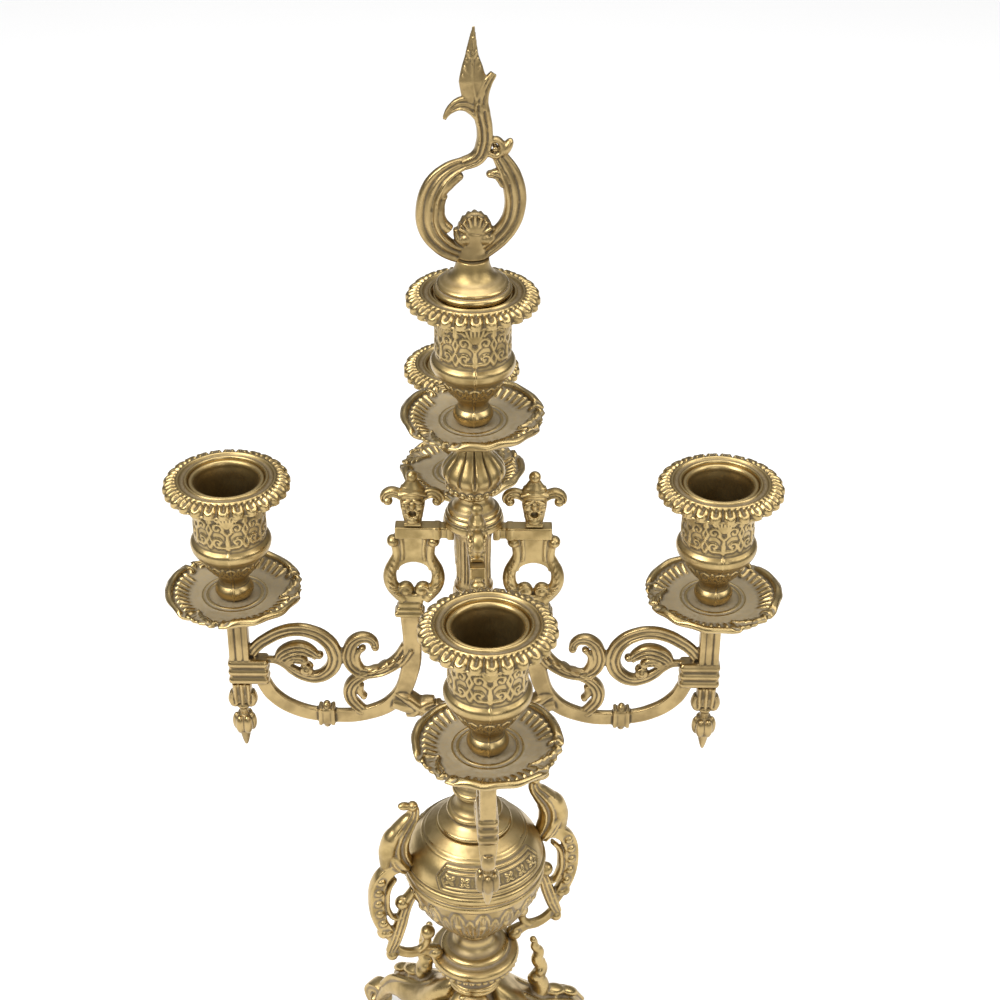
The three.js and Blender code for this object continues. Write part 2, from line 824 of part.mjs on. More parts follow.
// ---- Finial that lifts out of the centre cup ------------------------------------------------------
function finialOrnament() {
  const size = finialHeight;
  const at = (x, up, half) => [x, finialZ + up * size, half];
  const leftLoop = scrollBar(
    [
      at(-1, -0.002, 4.5),
      at(-11, 0.09, 3.8),
      at(-17.5, 0.2, 4.2),
      at(-15, 0.33, 4),
      at(-7, 0.415, 3.2),
      at(1, 0.46, 3.2),
      at(4.6, 0.55, 3),
      at(3.6, 0.65, 2.9),
      at(1.6, 0.74, 4.4),
      at(0.6, 0.84, 3.6),
      at(0.3, 0.92, 1.8),
      at(0.9, 1, 0.5),
    ],
    finialDepth,
    18,
  );
  const rightLoop = scrollBar(
    [
      at(2, 0.01, 4),
      at(13, 0.1, 3.6),
      at(17.3, 0.23, 3.6),
      at(14.6, 0.36, 4),
      at(8.5, 0.45, 3.4),
      at(4, 0.5, 2.4),
    ],
    finialDepth,
    8,
  );
  const hook = scrollBar(
    [
      at(-10.2, 0.645, 1),
      at(-6, 0.695, 2),
      at(0, 0.7, 2.6),
      at(3.5, 0.64, 2.6),
    ],
    finialDepth - 1,
    4,
  );
  const budTop = scrollBar([at(4, 0.71, 2.4), at(8.4, 0.82, 1.4)], finialDepth - 1, 2);
  const knob = scrollBar([at(9, 0.45, 3), at(14, 0.535, 2)], finialDepth, 2);
  const shell = bead(7, 1.5, finialZ + 0.13 * size, 0.6);
  const solid = joined([leftLoop, rightLoop, hook, budTop, knob, shell]);
  const floor = block(60, 60, 20, 0, finialZ - 20);
  return geometryOf(solid.subtract(solidOf(floor)));
}

function finial() {
  const group = new THREE.Group();
  const foot = [
    [0, 0],
    [1, 0],
    [1, 0.18],
    [0.85, 0.36],
    [0.84, 0.46],
    [0.5, 0.66],
    [0.42, 1],
    [0, 1],
  ].map(([across, up]) => [across * finialFootRadius, up * finialFootHeight]);
  const plugRadius = cupBoreRadius - plugClearance;
  const plugTop = finialFootZ - seam;
  group.add(
    named("finial_ornament", finialOrnament()),
    named("finial_foot", turned(foot, finialFootZ)),
    named("finial_plug", turned(
      [
        [0, 0],
        [plugRadius, 0],
        [plugRadius, plugLength],
        [0, plugLength],
      ],
      plugTop - plugLength,
      cupSides,
    )),
  );
  return group;
}

// ---- Tie rod ------------------------------------------------------------------------------------
function tieRod(group) {
  const washerZ = nutSeatZ - seam - washerHeight;
  const nutZ = washerZ - seam - nutHeight;
  const washer = [
    [rodBore, 0],
    [washerRadius, 0],
    [washerRadius, washerHeight],
    [rodBore, washerHeight],
    [rodBore, 0],
  ];
  const hexagon = new THREE.CylinderGeometry(nutAcross / 2, nutAcross / 2, nutHeight, 6);
  hexagon.rotateX(Math.PI / 2);
  hexagon.translate(0, 0, nutZ + nutHeight / 2);
  const nutHole = rodPiece(rodBore, nutZ - 1, nutZ + nutHeight + 1);
  const nut = solidOf(hexagon).subtract(solidOf(nutHole));
  const rodTop = centreCupZ + studEngagement;
  group.add(
    named("tie_rod", rodPiece(rodRadius, nutZ - rodTail, rodTop), "steel"),
    named("base_washer", turned(washer, washerZ), "steel"),
    named("base_nut", geometryOf(nut), "steel"),
  );
}

// ---- Assembly -----------------------------------------------------------------------------------
const candelabra = new THREE.Group();
const vaseGroup = new THREE.Group();
vaseGroup.rotation.z = vaseTurn;
baseWithLegs(vaseGroup);
vase(vaseGroup);
candelabra.add(vaseGroup);
columnStack(candelabra);
tieRod(candelabra);
["right", "back", "left", "front"].slice(0, armCount).forEach((side, i) => {
  const offSquare = i % 2 === 0 ? sideArmTurn : 0;
  const holder = arm(side, offSquare);
  holder.rotation.z = (i * 2 * Math.PI) / armCount + offSquare;
  candelabra.add(holder);
});
candelabra.add(
  named("centre_pan", dripPan(rodBore, centrePanZ), "panBrass"),
  named("centre_cup", candleCup(rodBore, centreCupZ)),
  named("centre_ring", dripRing(centreCupZ)),
  finial(),
);

export default candelabra;
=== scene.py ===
import math

import bpy
import numpy as np
from mathutils import Matrix, Vector


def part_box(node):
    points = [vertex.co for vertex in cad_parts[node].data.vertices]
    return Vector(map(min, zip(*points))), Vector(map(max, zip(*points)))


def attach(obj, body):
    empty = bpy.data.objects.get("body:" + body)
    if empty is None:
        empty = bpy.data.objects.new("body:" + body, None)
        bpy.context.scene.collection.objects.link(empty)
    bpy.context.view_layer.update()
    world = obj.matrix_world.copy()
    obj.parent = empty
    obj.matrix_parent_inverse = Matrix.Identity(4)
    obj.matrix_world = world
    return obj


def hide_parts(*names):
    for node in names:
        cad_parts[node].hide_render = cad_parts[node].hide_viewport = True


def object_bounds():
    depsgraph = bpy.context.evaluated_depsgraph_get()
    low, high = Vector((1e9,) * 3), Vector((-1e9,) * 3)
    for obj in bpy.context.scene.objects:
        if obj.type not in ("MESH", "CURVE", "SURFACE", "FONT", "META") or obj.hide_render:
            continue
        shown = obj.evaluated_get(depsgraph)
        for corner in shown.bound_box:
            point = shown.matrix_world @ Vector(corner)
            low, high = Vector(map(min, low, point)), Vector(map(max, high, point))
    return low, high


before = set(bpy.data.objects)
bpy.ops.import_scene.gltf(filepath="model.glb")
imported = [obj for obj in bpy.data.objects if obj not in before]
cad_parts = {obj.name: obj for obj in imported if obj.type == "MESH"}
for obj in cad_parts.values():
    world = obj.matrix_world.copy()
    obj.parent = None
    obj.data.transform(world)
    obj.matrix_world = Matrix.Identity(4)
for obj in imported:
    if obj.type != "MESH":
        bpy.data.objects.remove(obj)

cadLow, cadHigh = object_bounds()
mm = 0.001
fullTurn = 2 * math.pi
sides = ["right", "back", "left", "front"]  # counter-clockwise from +X
vaseTurn = math.radians(15.5)  # vase and base stand turned to the arms

# Every piece is drawn in millimetres and brought to metres when it is put in place.


def deselectAll():
    if bpy.context.mode != "OBJECT":
        bpy.ops.object.mode_set(mode="OBJECT")
    bpy.ops.object.select_all(action="DESELECT")


def pick(*objs):
    deselectAll()
    for obj in objs:
        obj.select_set(True)
    bpy.context.view_layer.objects.active = objs[0]
    return objs[0]


def nodeSpan(node):  # low and high corner in millimetres
    low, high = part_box(node)
    return low / mm, high / mm


def applyModifiers(obj):
    pick(obj)
    for modifier in list(obj.modifiers):
        bpy.ops.object.modifier_apply(modifier=modifier.name)
    return obj


def spotsOf(obj):
    flat = np.empty(len(obj.data.vertices) * 3)
    obj.data.vertices.foreach_get("co", flat)
    return flat.reshape(-1, 3)


def normalsOf(obj):
    flat = np.empty(len(obj.data.vertices) * 3, dtype=np.float32)
    obj.data.vertex_normals.foreach_get("vector", flat)
    return flat.reshape(-1, 3).astype(float)


def edgesOf(obj):
    flat = np.empty(len(obj.data.edges) * 2, dtype=np.int32)
    obj.data.edges.foreach_get("vertices", flat)
    return flat.reshape(-1, 2)


def storeSpots(obj, spots):
    obj.data.vertices.foreach_set("co", spots.ravel())
    obj.data.update()


def storeValues(obj, name, values):
    layer = obj.data.attributes.new(name, "FLOAT", "POINT")
    layer.data.foreach_set("value", values.astype(np.float32))


def drawLine(points, closed=False, softness=10):
    # A point is (across, up), (across, up, 0) for a sharp corner or (across, up, half width)
    deselectAll()
    bpy.ops.curve.primitive_bezier_curve_add(location=(0, 0, 0))
    obj = bpy.context.object
    curve = obj.data
    curve.dimensions = "2D"
    curve.fill_mode = "NONE"
    curve.resolution_u = softness
    spline = curve.splines[0]
    spline.bezier_points.add(len(points) - 2)
    spline.use_cyclic_u = closed
    for knot, point in zip(spline.bezier_points, points):
        knot.co = (point[0], point[1], 0)
        sharp = len(point) > 2 and point[2] == 0
        knot.handle_left_type = knot.handle_right_type = "VECTOR" if sharp else "AUTO"
        knot.radius = point[2] if len(point) > 2 and not sharp else 1
    return obj


def standUp(obj):  # from the floor into the upright plane through +X
    obj.data.transform(Matrix.Rotation(math.pi / 2, 4, "X"))
    return obj


def splitLongEdges(obj, longest):
    bpy.context.tool_settings.mesh_select_mode = (False, True, False)
    for turn in range(6):
        spots, ends = spotsOf(obj), edgesOf(obj)
        tooLong = np.linalg.norm(spots[ends[:, 0]] - spots[ends[:, 1]], axis=1) > longest
        if not tooLong.any():
            break
        obj.data.vertices.foreach_set("select", np.zeros(len(spots), dtype=bool))
        obj.data.edges.foreach_set("select", tooLong)
        bpy.ops.object.mode_set(mode="EDIT")
        bpy.ops.mesh.subdivide(number_cuts=1)
        bpy.ops.object.mode_set(mode="OBJECT")
    bpy.context.tool_settings.mesh_select_mode = (True, False, False)


def turnedPiece(name, outline, around=128, spacing=0.7, closed=True):
    obj = standUp(drawLine(outline, closed))
    bpy.ops.object.convert(target="MESH")
    obj = bpy.context.object
    obj.name = name
    bpy.ops.object.mode_set(mode="EDIT")
    bpy.ops.mesh.select_all(action="SELECT")
    bpy.ops.mesh.remove_doubles(threshold=spacing * 0.55)
    bpy.ops.object.mode_set(mode="OBJECT")
    splitLongEdges(obj, spacing * 1.5)
    bpy.ops.object.mode_set(mode="EDIT")
    bpy.ops.mesh.select_all(action="SELECT")
    bpy.ops.mesh.spin(steps=around, angle=fullTurn, center=(0, 0, 0), axis=(0, 0, 1))
    bpy.ops.mesh.select_all(action="SELECT")
    bpy.ops.mesh.remove_doubles(threshold=0.002)
    bpy.ops.mesh.normals_make_consistent(inside=False)
    bpy.ops.object.mode_set(mode="OBJECT")
    return obj


def polar(spots):
    return np.arctan2(spots[:, 1], spots[:, 0]), np.hypot(spots[:, 0], spots[:, 1])


def raiseRelief(obj, heightAt):
    # heightAt(angle, radius, height above the foot, normals) gives millimetres along the normal
    spots, normals = spotsOf(obj), normalsOf(obj)
    angle, radius = polar(spots)
    rise = heightAt(angle, radius, spots[:, 2], normals)
    storeSpots(obj, spots + normals * rise[:, None])
    return obj


def ramp(value, start, end):  # 0 before start, 1 after end
    share = np.clip((value - start) / (end - start), 0, 1)
    return share * share * (3 - 2 * share)


def band(value, low, high, edge):
    return ramp(value, low, low + edge) * (1 - ramp(value, high - edge, high))


def folded(angle, count):  # 0 on one line of symmetry, 1 on the next
    share = (angle / fullTurn * count) % 1
    return 1 - np.abs(2 * share - 1)


def spiral(acrossMiddle, upMiddle, outer, inner, startAngle, turns, knots=16):
    line = []
    for step in range(knots + 1):
        share = step / knots
        reach = outer + (inner - outer) * share
        angle = math.radians(startAngle) + turns * fullTurn * share
        line.append((acrossMiddle + reach * math.cos(angle), upMiddle + reach * math.sin(angle)))
    return line


def strokeHeight(across, up, strokes, halfWidth, thinning=0.45):
    # rounded ridges along lines, thinner towards the end of each line
    best = np.zeros_like(across)
    for stroke in strokes:
        pieces = len(stroke) - 1
        for index in range(pieces):
            (x0, y0), (x1, y1) = stroke[index], stroke[index + 1]
            dx, dy = x1 - x0, y1 - y0
            share = np.clip(((across - x0) * dx + (up - y0) * dy) / (dx * dx + dy * dy), 0, 1)
            gap = np.hypot(across - x0 - share * dx, up - y0 - share * dy)
            reach = halfWidth * (1 - thinning * (index + share) / pieces)
            best = np.maximum(best, np.sqrt(np.clip(1 - (gap / reach) ** 2, 0, 1)))
    return best


def barSection(depthAt, knots=9):
    # closed outline of a bar, one unit to each side, from its half depth across the face
    across = [-math.cos(math.pi * (step + 0.5) / knots) for step in range(knots)]
    return [(x, depthAt(x)) for x in across] + [(x, -depthAt(x)) for x in reversed(across)]


def squared(x, power=6):
    return (1 - abs(x) ** power) ** (1 / power)


def hollowFace(x):  # a soft groove down the middle
    return 0.9 * squared(x, 6) * (0.74 + 0.26 * abs(x) ** 3)


def reededFace(x):  # three rounded reeds
    return 0.8 * squared(x, 8) * (0.8 + 0.2 * math.cos(3 * math.pi * x))


def rolledFace(x):  # a high rounded edge on one side, two lower ridges beside it
    highEdge = 0.38 * math.exp(-(((x + 0.62) / 0.3) ** 2))
    return 0.85 * squared(x, 6) * (0.62 + highEdge + 0.16 * math.cos(8.4 * x))


def roundFace(x):
    return math.sqrt(1 - x * x)


def sweptBar(points, depthAt, deep=1.0, softness=8):
    section = drawLine([(x, y * deep) for x, y in barSection(depthAt)], closed=True, softness=3)
    bar = drawLine(points, softness=softness)
    bar.data.bevel_mode = "OBJECT"
    bar.data.bevel_object = section
    bar.data.use_fill_caps = True
    pick(bar)
    bpy.ops.object.convert(target="MESH")
    bar = bpy.context.object
    bpy.data.objects.remove(section)
    standUp(bar)
    bpy.ops.object.mode_set(mode="EDIT")
    bpy.ops.mesh.select_all(action="SELECT")
    bpy.ops.mesh.remove_doubles(threshold=0.002)
    bpy.ops.mesh.normals_make_consistent(inside=False)
    bpy.ops.object.mode_set(mode="OBJECT")
    return bar


def cutPlate(outline, halfDepth, bevel=0.6, softness=6):
    plate = drawLine(outline, closed=True, softness=softness)
    plate.data.fill_mode = "BOTH"
    plate.data.extrude = halfDepth - bevel
    plate.data.bevel_depth = bevel
    plate.data.bevel_resolution = 1
    plate.data.offset = -bevel
    bpy.ops.object.convert(target="MESH")
    plate = standUp(bpy.context.object)
    bpy.ops.object.mode_set(mode="EDIT")
    bpy.ops.mesh.select_all(action="SELECT")
    bpy.ops.mesh.remove_doubles(threshold=0.002)
    bpy.ops.mesh.normals_make_consistent(inside=False)
    bpy.ops.object.mode_set(mode="OBJECT")
    return plate


def knob(x, z, size, y=0, tilt=0):
    # size is a radius or three half lengths, tilt leans it in the upright plane
    deselectAll()
    bpy.ops.mesh.primitive_uv_sphere_add(segments=20, ring_count=12, radius=1, location=(0, 0, 0))
    obj = bpy.context.object
    halves = size if isinstance(size, tuple) else (size, size, size)
    lean = Matrix.Rotation(math.radians(tilt), 4, "Y")
    obj.data.transform(Matrix.Translation((x, y, z)) @ lean @ Matrix.Diagonal((*halves, 1)))
    return obj


def softBlock(low, high, bevel=0.5, taper=1.0):
    # taper is the share of its width and depth left at the lower end
    deselectAll()
    bpy.ops.mesh.primitive_cube_add(size=1, location=(0, 0, 0))
    obj = bpy.context.object
    middle = [(a + b) / 2 for a, b in zip(low, high)]
    spots = spotsOf(obj) * [b - a for a, b in zip(low, high)]
    narrow = np.where(spots[:, 2] < 0, taper, 1.0)
    spots[:, 0] *= narrow
    spots[:, 1] *= narrow
    storeSpots(obj, spots + middle)
    bpy.ops.object.mode_set(mode="EDIT")
    bpy.ops.mesh.select_all(action="SELECT")
    bpy.ops.mesh.bevel(offset=bevel, segments=2, affect="EDGES")
    bpy.ops.object.mode_set(mode="OBJECT")
    return obj


def castTogether(name, parts, grain=0.4, softening=3):
    pick(*parts)
    bpy.ops.object.join()
    obj = bpy.context.object
    obj.name = name
    remesh = obj.modifiers.new("cast", "REMESH")
    remesh.mode = "VOXEL"
    remesh.voxel_size = grain
    soften = obj.modifiers.new("soften", "SMOOTH")
    soften.factor = 0.5
    soften.iterations = softening
    return applyModifiers(obj)


def markHollows(obj, narrow=4, wide=22):
    # how far each spot lies under (+) or over (-) the averaged surface, in millimetres
    spots, normals, ends = spotsOf(obj), normalsOf(obj), edgesOf(obj)
    count = np.bincount(ends.ravel(), minlength=len(spots))
    even = spots.copy()
    for turn in range(wide):
        total = np.empty_like(even)
        for axis in range(3):
            total[:, axis] = np.bincount(ends[:, 0], even[ends[:, 1], axis], len(spots))
            total[:, axis] += np.bincount(ends[:, 1], even[ends[:, 0], axis], len(spots))
        even = total / count[:, None]
        if turn == narrow - 1:
            storeValues(obj, "narrowHollow", ((even - spots) * normals).sum(axis=1))
    storeValues(obj, "wideHollow", ((even - spots) * normals).sum(axis=1))
    return obj


def placePiece(obj, name, body, finish, nodes, place=Matrix.Identity(4)):
    obj.name = name
    obj.data.name = name
    obj.data.transform(Matrix.Diagonal((mm, mm, mm, 1)) @ place)
    obj.data.materials.clear()
    obj.data.materials.append(finish)
    pick(obj)
    bpy.ops.object.shade_smooth()
    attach(obj, body)
    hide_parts(*nodes)
    return obj


def ownCopy(source):
    copy = source.copy()
    copy.data = source.data.copy()
    bpy.context.collection.objects.link(copy)
    return copy


def placeCopies(source, ending, finish, nodeEnding, placeOf):
    for side in sides:
        placePiece(ownCopy(source), side + ending, "stand", finish, [f"{side}_{nodeEnding}"],
                   placeOf(side))
    bpy.data.objects.remove(source)


def overNode(node, turn=0.0):  # on the floor and the axis of a node, turned about that axis
    low, high = nodeSpan(node)
    foot = Matrix.Translation(((low.x + high.x) / 2, (low.y + high.y) / 2, low.z))
    return foot @ Matrix.Rotation(turn, 4, "Z")


def armWay(side):  # direction of an arm from the stem, from the place of its cup
    low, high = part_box(f"{side}_arm_cup")
    return math.atan2(low.y + high.y, low.x + high.x)


def armTurn(side):
    return Matrix.Rotation(armWay(side), 4, "Z")


# Finishes


def addNode(tree, kind, **settings):
    node = tree.nodes.new(kind)
    for key, value in settings.items():
        setattr(node, key, value)
    return node


def sumOf(tree, operation, first, second=None, clamp=False):
    node = addNode(tree, "ShaderNodeMath", operation=operation, use_clamp=clamp)
    for socket, value in zip(node.inputs, (first, second)):
        if isinstance(value, (int, float)):
            socket.default_value = value
        elif value is not None:
            tree.links.new(value, socket)
    return node.outputs[0]


def mapped(tree, value, low, high, toLow=0.0, toHigh=1.0):
    node = addNode(tree, "ShaderNodeMapRange", interpolation_type="SMOOTHSTEP")
    tree.links.new(value, node.inputs["Value"])
    for socket, number in zip(("From Min", "From Max", "To Min", "To Max"), (low, high, toLow, toHigh)):
        node.inputs[socket].default_value = number
    return node.outputs["Result"]


def blended(tree, share, first, second):
    node = addNode(tree, "ShaderNodeMix", data_type="RGBA")
    tree.links.new(share, node.inputs["Factor"])
    tree.links.new(first, node.inputs[6])
    tree.links.new(second, node.inputs[7])
    return node.outputs[2]


def noise(tree, place, scale, detail=3.0, rough=0.55):
    node = addNode(tree, "ShaderNodeTexNoise")
    tree.links.new(place, node.inputs["Vector"])
    node.inputs["Scale"].default_value = scale
    node.inputs["Detail"].default_value = detail
    node.inputs["Roughness"].default_value = rough
    return node.outputs["Fac"]


def buildCastSurface():
    # tarnish in patches, dark grime and painted shade in the hollows and down the cup bores, dust in the
    # hollows and on flats, ridges rubbed bright, a cast grain
    tree = bpy.data.node_groups.new("castSurface", "ShaderNodeTree")
    for name in ("Gilt", "Shade", "Grime And Painted Shade", "Dust"):
        tree.interface.new_socket(name, in_out="INPUT", socket_type="NodeSocketColor")
    for name in ("Tarnish", "Grime And Painted Shade In Hollows", "Dust In Hollows", "Dust On Flats"):
        tree.interface.new_socket(name, in_out="INPUT", socket_type="NodeSocketFloat")
    tree.interface.new_socket("Colour", in_out="OUTPUT", socket_type="NodeSocketColor")
    for name in ("Roughness", "Metallic", "Height"):
        tree.interface.new_socket(name, in_out="OUTPUT", socket_type="NodeSocketFloat")
    given = addNode(tree, "NodeGroupInput").outputs
    result = addNode(tree, "NodeGroupOutput").inputs
    place = addNode(tree, "ShaderNodeTexCoord").outputs["Object"]
    narrow = addNode(tree, "ShaderNodeAttribute", attribute_name="narrowHollow").outputs["Fac"]
    wide = addNode(tree, "ShaderNodeAttribute", attribute_name="wideHollow").outputs["Fac"]
    # painted shade down the cup bores over a light soot deposit
    boreSootAndShade = addNode(tree, "ShaderNodeAttribute", attribute_name="boreSootAndShade").outputs["Fac"]
    facing = addNode(tree, "ShaderNodeSeparateXYZ")
    tree.links.new(addNode(tree, "ShaderNodeNewGeometry").outputs["Normal"], facing.inputs[0])
    patches = mapped(tree, noise(tree, place, 85, 5), 0.38, 0.68)
    specks = noise(tree, place, 700, 4, 0.62)
    grain = noise(tree, place, 2400, 2)
    groove = sumOf(tree, "MAXIMUM", mapped(tree, narrow, 0.012, 0.10), mapped(tree, wide, 0.12, 0.75))
    ridge = mapped(tree, sumOf(tree, "MULTIPLY", narrow, -1.0), 0.02, 0.12)
    flat = mapped(tree, facing.outputs["Z"], 0.70, 0.97)
    # the near-black colour goes into the hollows and down the cup bores: partly grime, partly painted shade
    grimeAndShade = sumOf(tree, "MULTIPLY", groove, given["Grime And Painted Shade In Hollows"], clamp=True)
    grimeAndShade = sumOf(tree, "MAXIMUM", grimeAndShade, boreSootAndShade)
    settled = sumOf(tree, "MULTIPLY", flat, given["Dust On Flats"])
    settled = sumOf(tree, "MULTIPLY", settled, mapped(tree, narrow, -0.06, 0.02))
    lodged = sumOf(tree, "MULTIPLY", groove, given["Dust In Hollows"])
    dust = sumOf(tree, "MAXIMUM", settled, lodged)
    dust = sumOf(tree, "MULTIPLY", dust, mapped(tree, specks, 0.30, 0.62, 0.55, 1.0), clamp=True)
    colour = blended(tree, sumOf(tree, "MULTIPLY", patches, given["Tarnish"]), given["Gilt"],
                     given["Shade"])
    # blend towards the dark colour of grime and painted shade in the hollows
    colour = blended(tree, grimeAndShade, colour, given["Grime And Painted Shade"])
    colour = blended(tree, dust, colour, given["Dust"])
    colour = blended(tree, sumOf(tree, "MULTIPLY", ridge, 0.6), colour, given["Gilt"])
    tree.links.new(colour, result["Colour"])
    rough = sumOf(tree, "ADD", mapped(tree, patches, 0, 1, 0.27, 0.38),
                  sumOf(tree, "MULTIPLY", specks, 0.10))
    rough = sumOf(tree, "ADD", rough, sumOf(tree, "MULTIPLY", dust, 0.42))
    rough = sumOf(tree, "ADD", rough, sumOf(tree, "MULTIPLY", grimeAndShade, 0.22))
    tree.links.new(sumOf(tree, "SUBTRACT", rough, sumOf(tree, "MULTIPLY", ridge, 0.08)),
                   result["Roughness"])
    tree.links.new(sumOf(tree, "SUBTRACT", 1.0, sumOf(tree, "MULTIPLY", dust, 0.9)), result["Metallic"])
    height = sumOf(tree, "ADD", sumOf(tree, "MULTIPLY", specks, 0.7), sumOf(tree, "MULTIPLY", grain, 0.3))
    tree.links.new(height, result["Height"])
    return tree


castSurface = buildCastSurface()


def castFinish(name, settings, grainDepth=0.00012, grainStrength=0.35):
    material = bpy.data.materials.new(name)
    material.use_nodes = True
    tree = material.node_tree
    shader = tree.nodes["Principled BSDF"]
    surface = addNode(tree, "ShaderNodeGroup", node_tree=castSurface)
    for key, value in settings.items():
        surface.inputs[key].default_value = (*value, 1) if isinstance(value, tuple) else value
    bump = addNode(tree, "ShaderNodeBump")
    bump.inputs["Strength"].default_value = grainStrength
    bump.inputs["Distance"].default_value = grainDepth
    tree.links.new(surface.outputs["Colour"], shader.inputs["Base Color"])
    tree.links.new(surface.outputs["Roughness"], shader.inputs["Roughness"])
    tree.links.new(surface.outputs["Metallic"], shader.inputs["Metallic"])
    tree.links.new(surface.outputs["Height"], bump.inputs["Height"])
    tree.links.new(bump.outputs["Normal"], shader.inputs["Normal"])
    return material


# in each finish below, the darkest colour and its amount in the hollows are grime with painted shade
agedBrass = castFinish("agedBrass", {
    "Gilt": (0.47, 0.345, 0.155),
    "Shade": (0.25, 0.18, 0.072),
    "Grime And Painted Shade": (0.065, 0.045, 0.019),
    "Dust": (0.42, 0.345, 0.24),
    "Tarnish": 0.85,
    "Grime And Painted Shade In Hollows": 0.8,
    "Dust In Hollows": 0.25,
    "Dust On Flats": 0.15,
})
scrollBrass = castFinish("scrollBrass", {  # the arms, duller from handling
    "Gilt": (0.42, 0.305, 0.14),
    "Shade": (0.235, 0.168, 0.075),
    "Grime And Painted Shade": (0.06, 0.043, 0.02),
    "Dust": (0.36, 0.30, 0.21),
    "Tarnish": 0.8,
    "Grime And Painted Shade In Hollows": 0.85,
    "Dust In Hollows": 0.2,
    "Dust On Flats": 0.2,
}, 0.00018, 0.5)
panBrass = castFinish("panBrass", {  # drip pans, greyed by dust on the flats
    "Gilt": (0.46, 0.34, 0.155),
    "Shade": (0.26, 0.19, 0.08),
    "Grime And Painted Shade": (0.07, 0.05, 0.025),
    "Dust": (0.30, 0.255, 0.18),
    "Tarnish": 0.8,
    "Grime And Painted Shade In Hollows": 0.65,
    "Dust In Hollows": 0.4,
    "Dust On Flats": 0.8,
})
vaseBrass = castFinish("vaseBrass", {  # pale dust below the swell of the vase and on the base
    "Gilt": (0.48, 0.35, 0.155),
    "Shade": (0.265, 0.19, 0.075),
    "Grime And Painted Shade": (0.075, 0.052, 0.023),
    "Dust": (0.42, 0.35, 0.26),
    "Tarnish": 0.85,
    "Grime And Painted Shade In Hollows": 0.65,
    "Dust In Hollows": 0.5,
    "Dust On Flats": 0.3,
})
rodSteel = castFinish("rodSteel", {
    "Gilt": (0.48, 0.47, 0.45),
    "Shade": (0.30, 0.28, 0.26),
    "Grime And Painted Shade": (0.08, 0.06, 0.045),
    "Dust": (0.34, 0.30, 0.26),
    "Tarnish": 0.6,
    "Grime And Painted Shade In Hollows": 0.5,
    "Dust In Hollows": 0.3,
    "Dust On Flats": 0.3,
})
print("finishes ready")


# Candle cups, drip rings and drip pans

cup = {
    "outline": [
        (0, 0, 0), (7.2, 0, 0), (8.3, 1.8), (8.4, 3.8), (7.3, 5.9), (6.6, 6.6, 0), (6.3, 8.2), (7.2, 10.4),
        (8.8, 12.6), (9.6, 13.4, 0), (9.9, 14), (12.6, 18.6), (14.2, 22), (14.9, 22.6, 0), (15.4, 23),
        (16.8, 24.6), (17.6, 27), (17.4, 29), (16.2, 30.4), (15.7, 30.8, 0), (15.5, 31.6), (15.3, 38),
        (15.4, 46), (15.8, 50), (16.3, 52.6), (16.9, 54.5), (17, 55, 0), (16.3, 55.2, 0), (16.3, 58.4),
        (15.5, 58.9), (14.6, 58.7), (13.6, 56), (12.7, 50), (12.1, 40), (12.1, 26, 0), (0, 26, 0),
    ],
    "bodyFoot": 31.6, "bodyTop": 52.0, "bodyRadius": 15.4, "panels": 6,
    "bandFoot": 14.6, "bandTop": 21.6, "bandRadius": 12.3, "bandRepeats": 12,
    "carving": 0.62, "seamHeight": 0.35,
    "boreRadius": 14.2, "boreFoot": 25.5,
}


def cupCarving():
    # one half panel: a palmette over a stem with two opposed scrolls, half a flower on the far side
    half = math.pi * cup["bodyRadius"] / cup["panels"]
    low = cup["bodyFoot"]
    return [
        [(0, low + 1), (0.3, low + 4), (0, low + 8)],
        [(0.2, low + 2), (2, low + 2.2)] + spiral(4.1, low + 4.6, 2.6, 0.5, -115, 1.15),
        [(0.2, low + 8.4), (1.6, low + 9.8)] + spiral(4.3, low + 11.6, 2.7, 0.5, 215, -1.15),
        [(0, low + 12), (0, low + 18.6)],
        [(0.2, low + 12.4), (1.4, low + 15), (1.5, low + 17.8)],
        [(0.4, low + 12.2), (2.4, low + 14.6), (3.6, low + 17.6)],
        [(3.8, low + 15.2), (5.2, low + 16.4), (6.6, low + 16.2)],
        [(half, low + 1.5), (half - 1.6, low + 4), (half, low + 7)],
        [(half, low + 8), (half - 1.2, low + 10.4), (half, low + 13)],
        [(half - 0.4, low + 14), (half - 0.4, low + 18.6)],
    ]


def cupBand():
    half = math.pi * cup["bandRadius"] / cup["bandRepeats"]
    low, high = cup["bandFoot"], cup["bandTop"]
    return [
        [(0, low + 0.8), (half * 0.55, low + 2.4), (half * 0.45, high - 2.2), (0, high - 1)],
        [(half, low + 1), (half * 0.8, low + 3.4), (half, high - 1)],
    ]


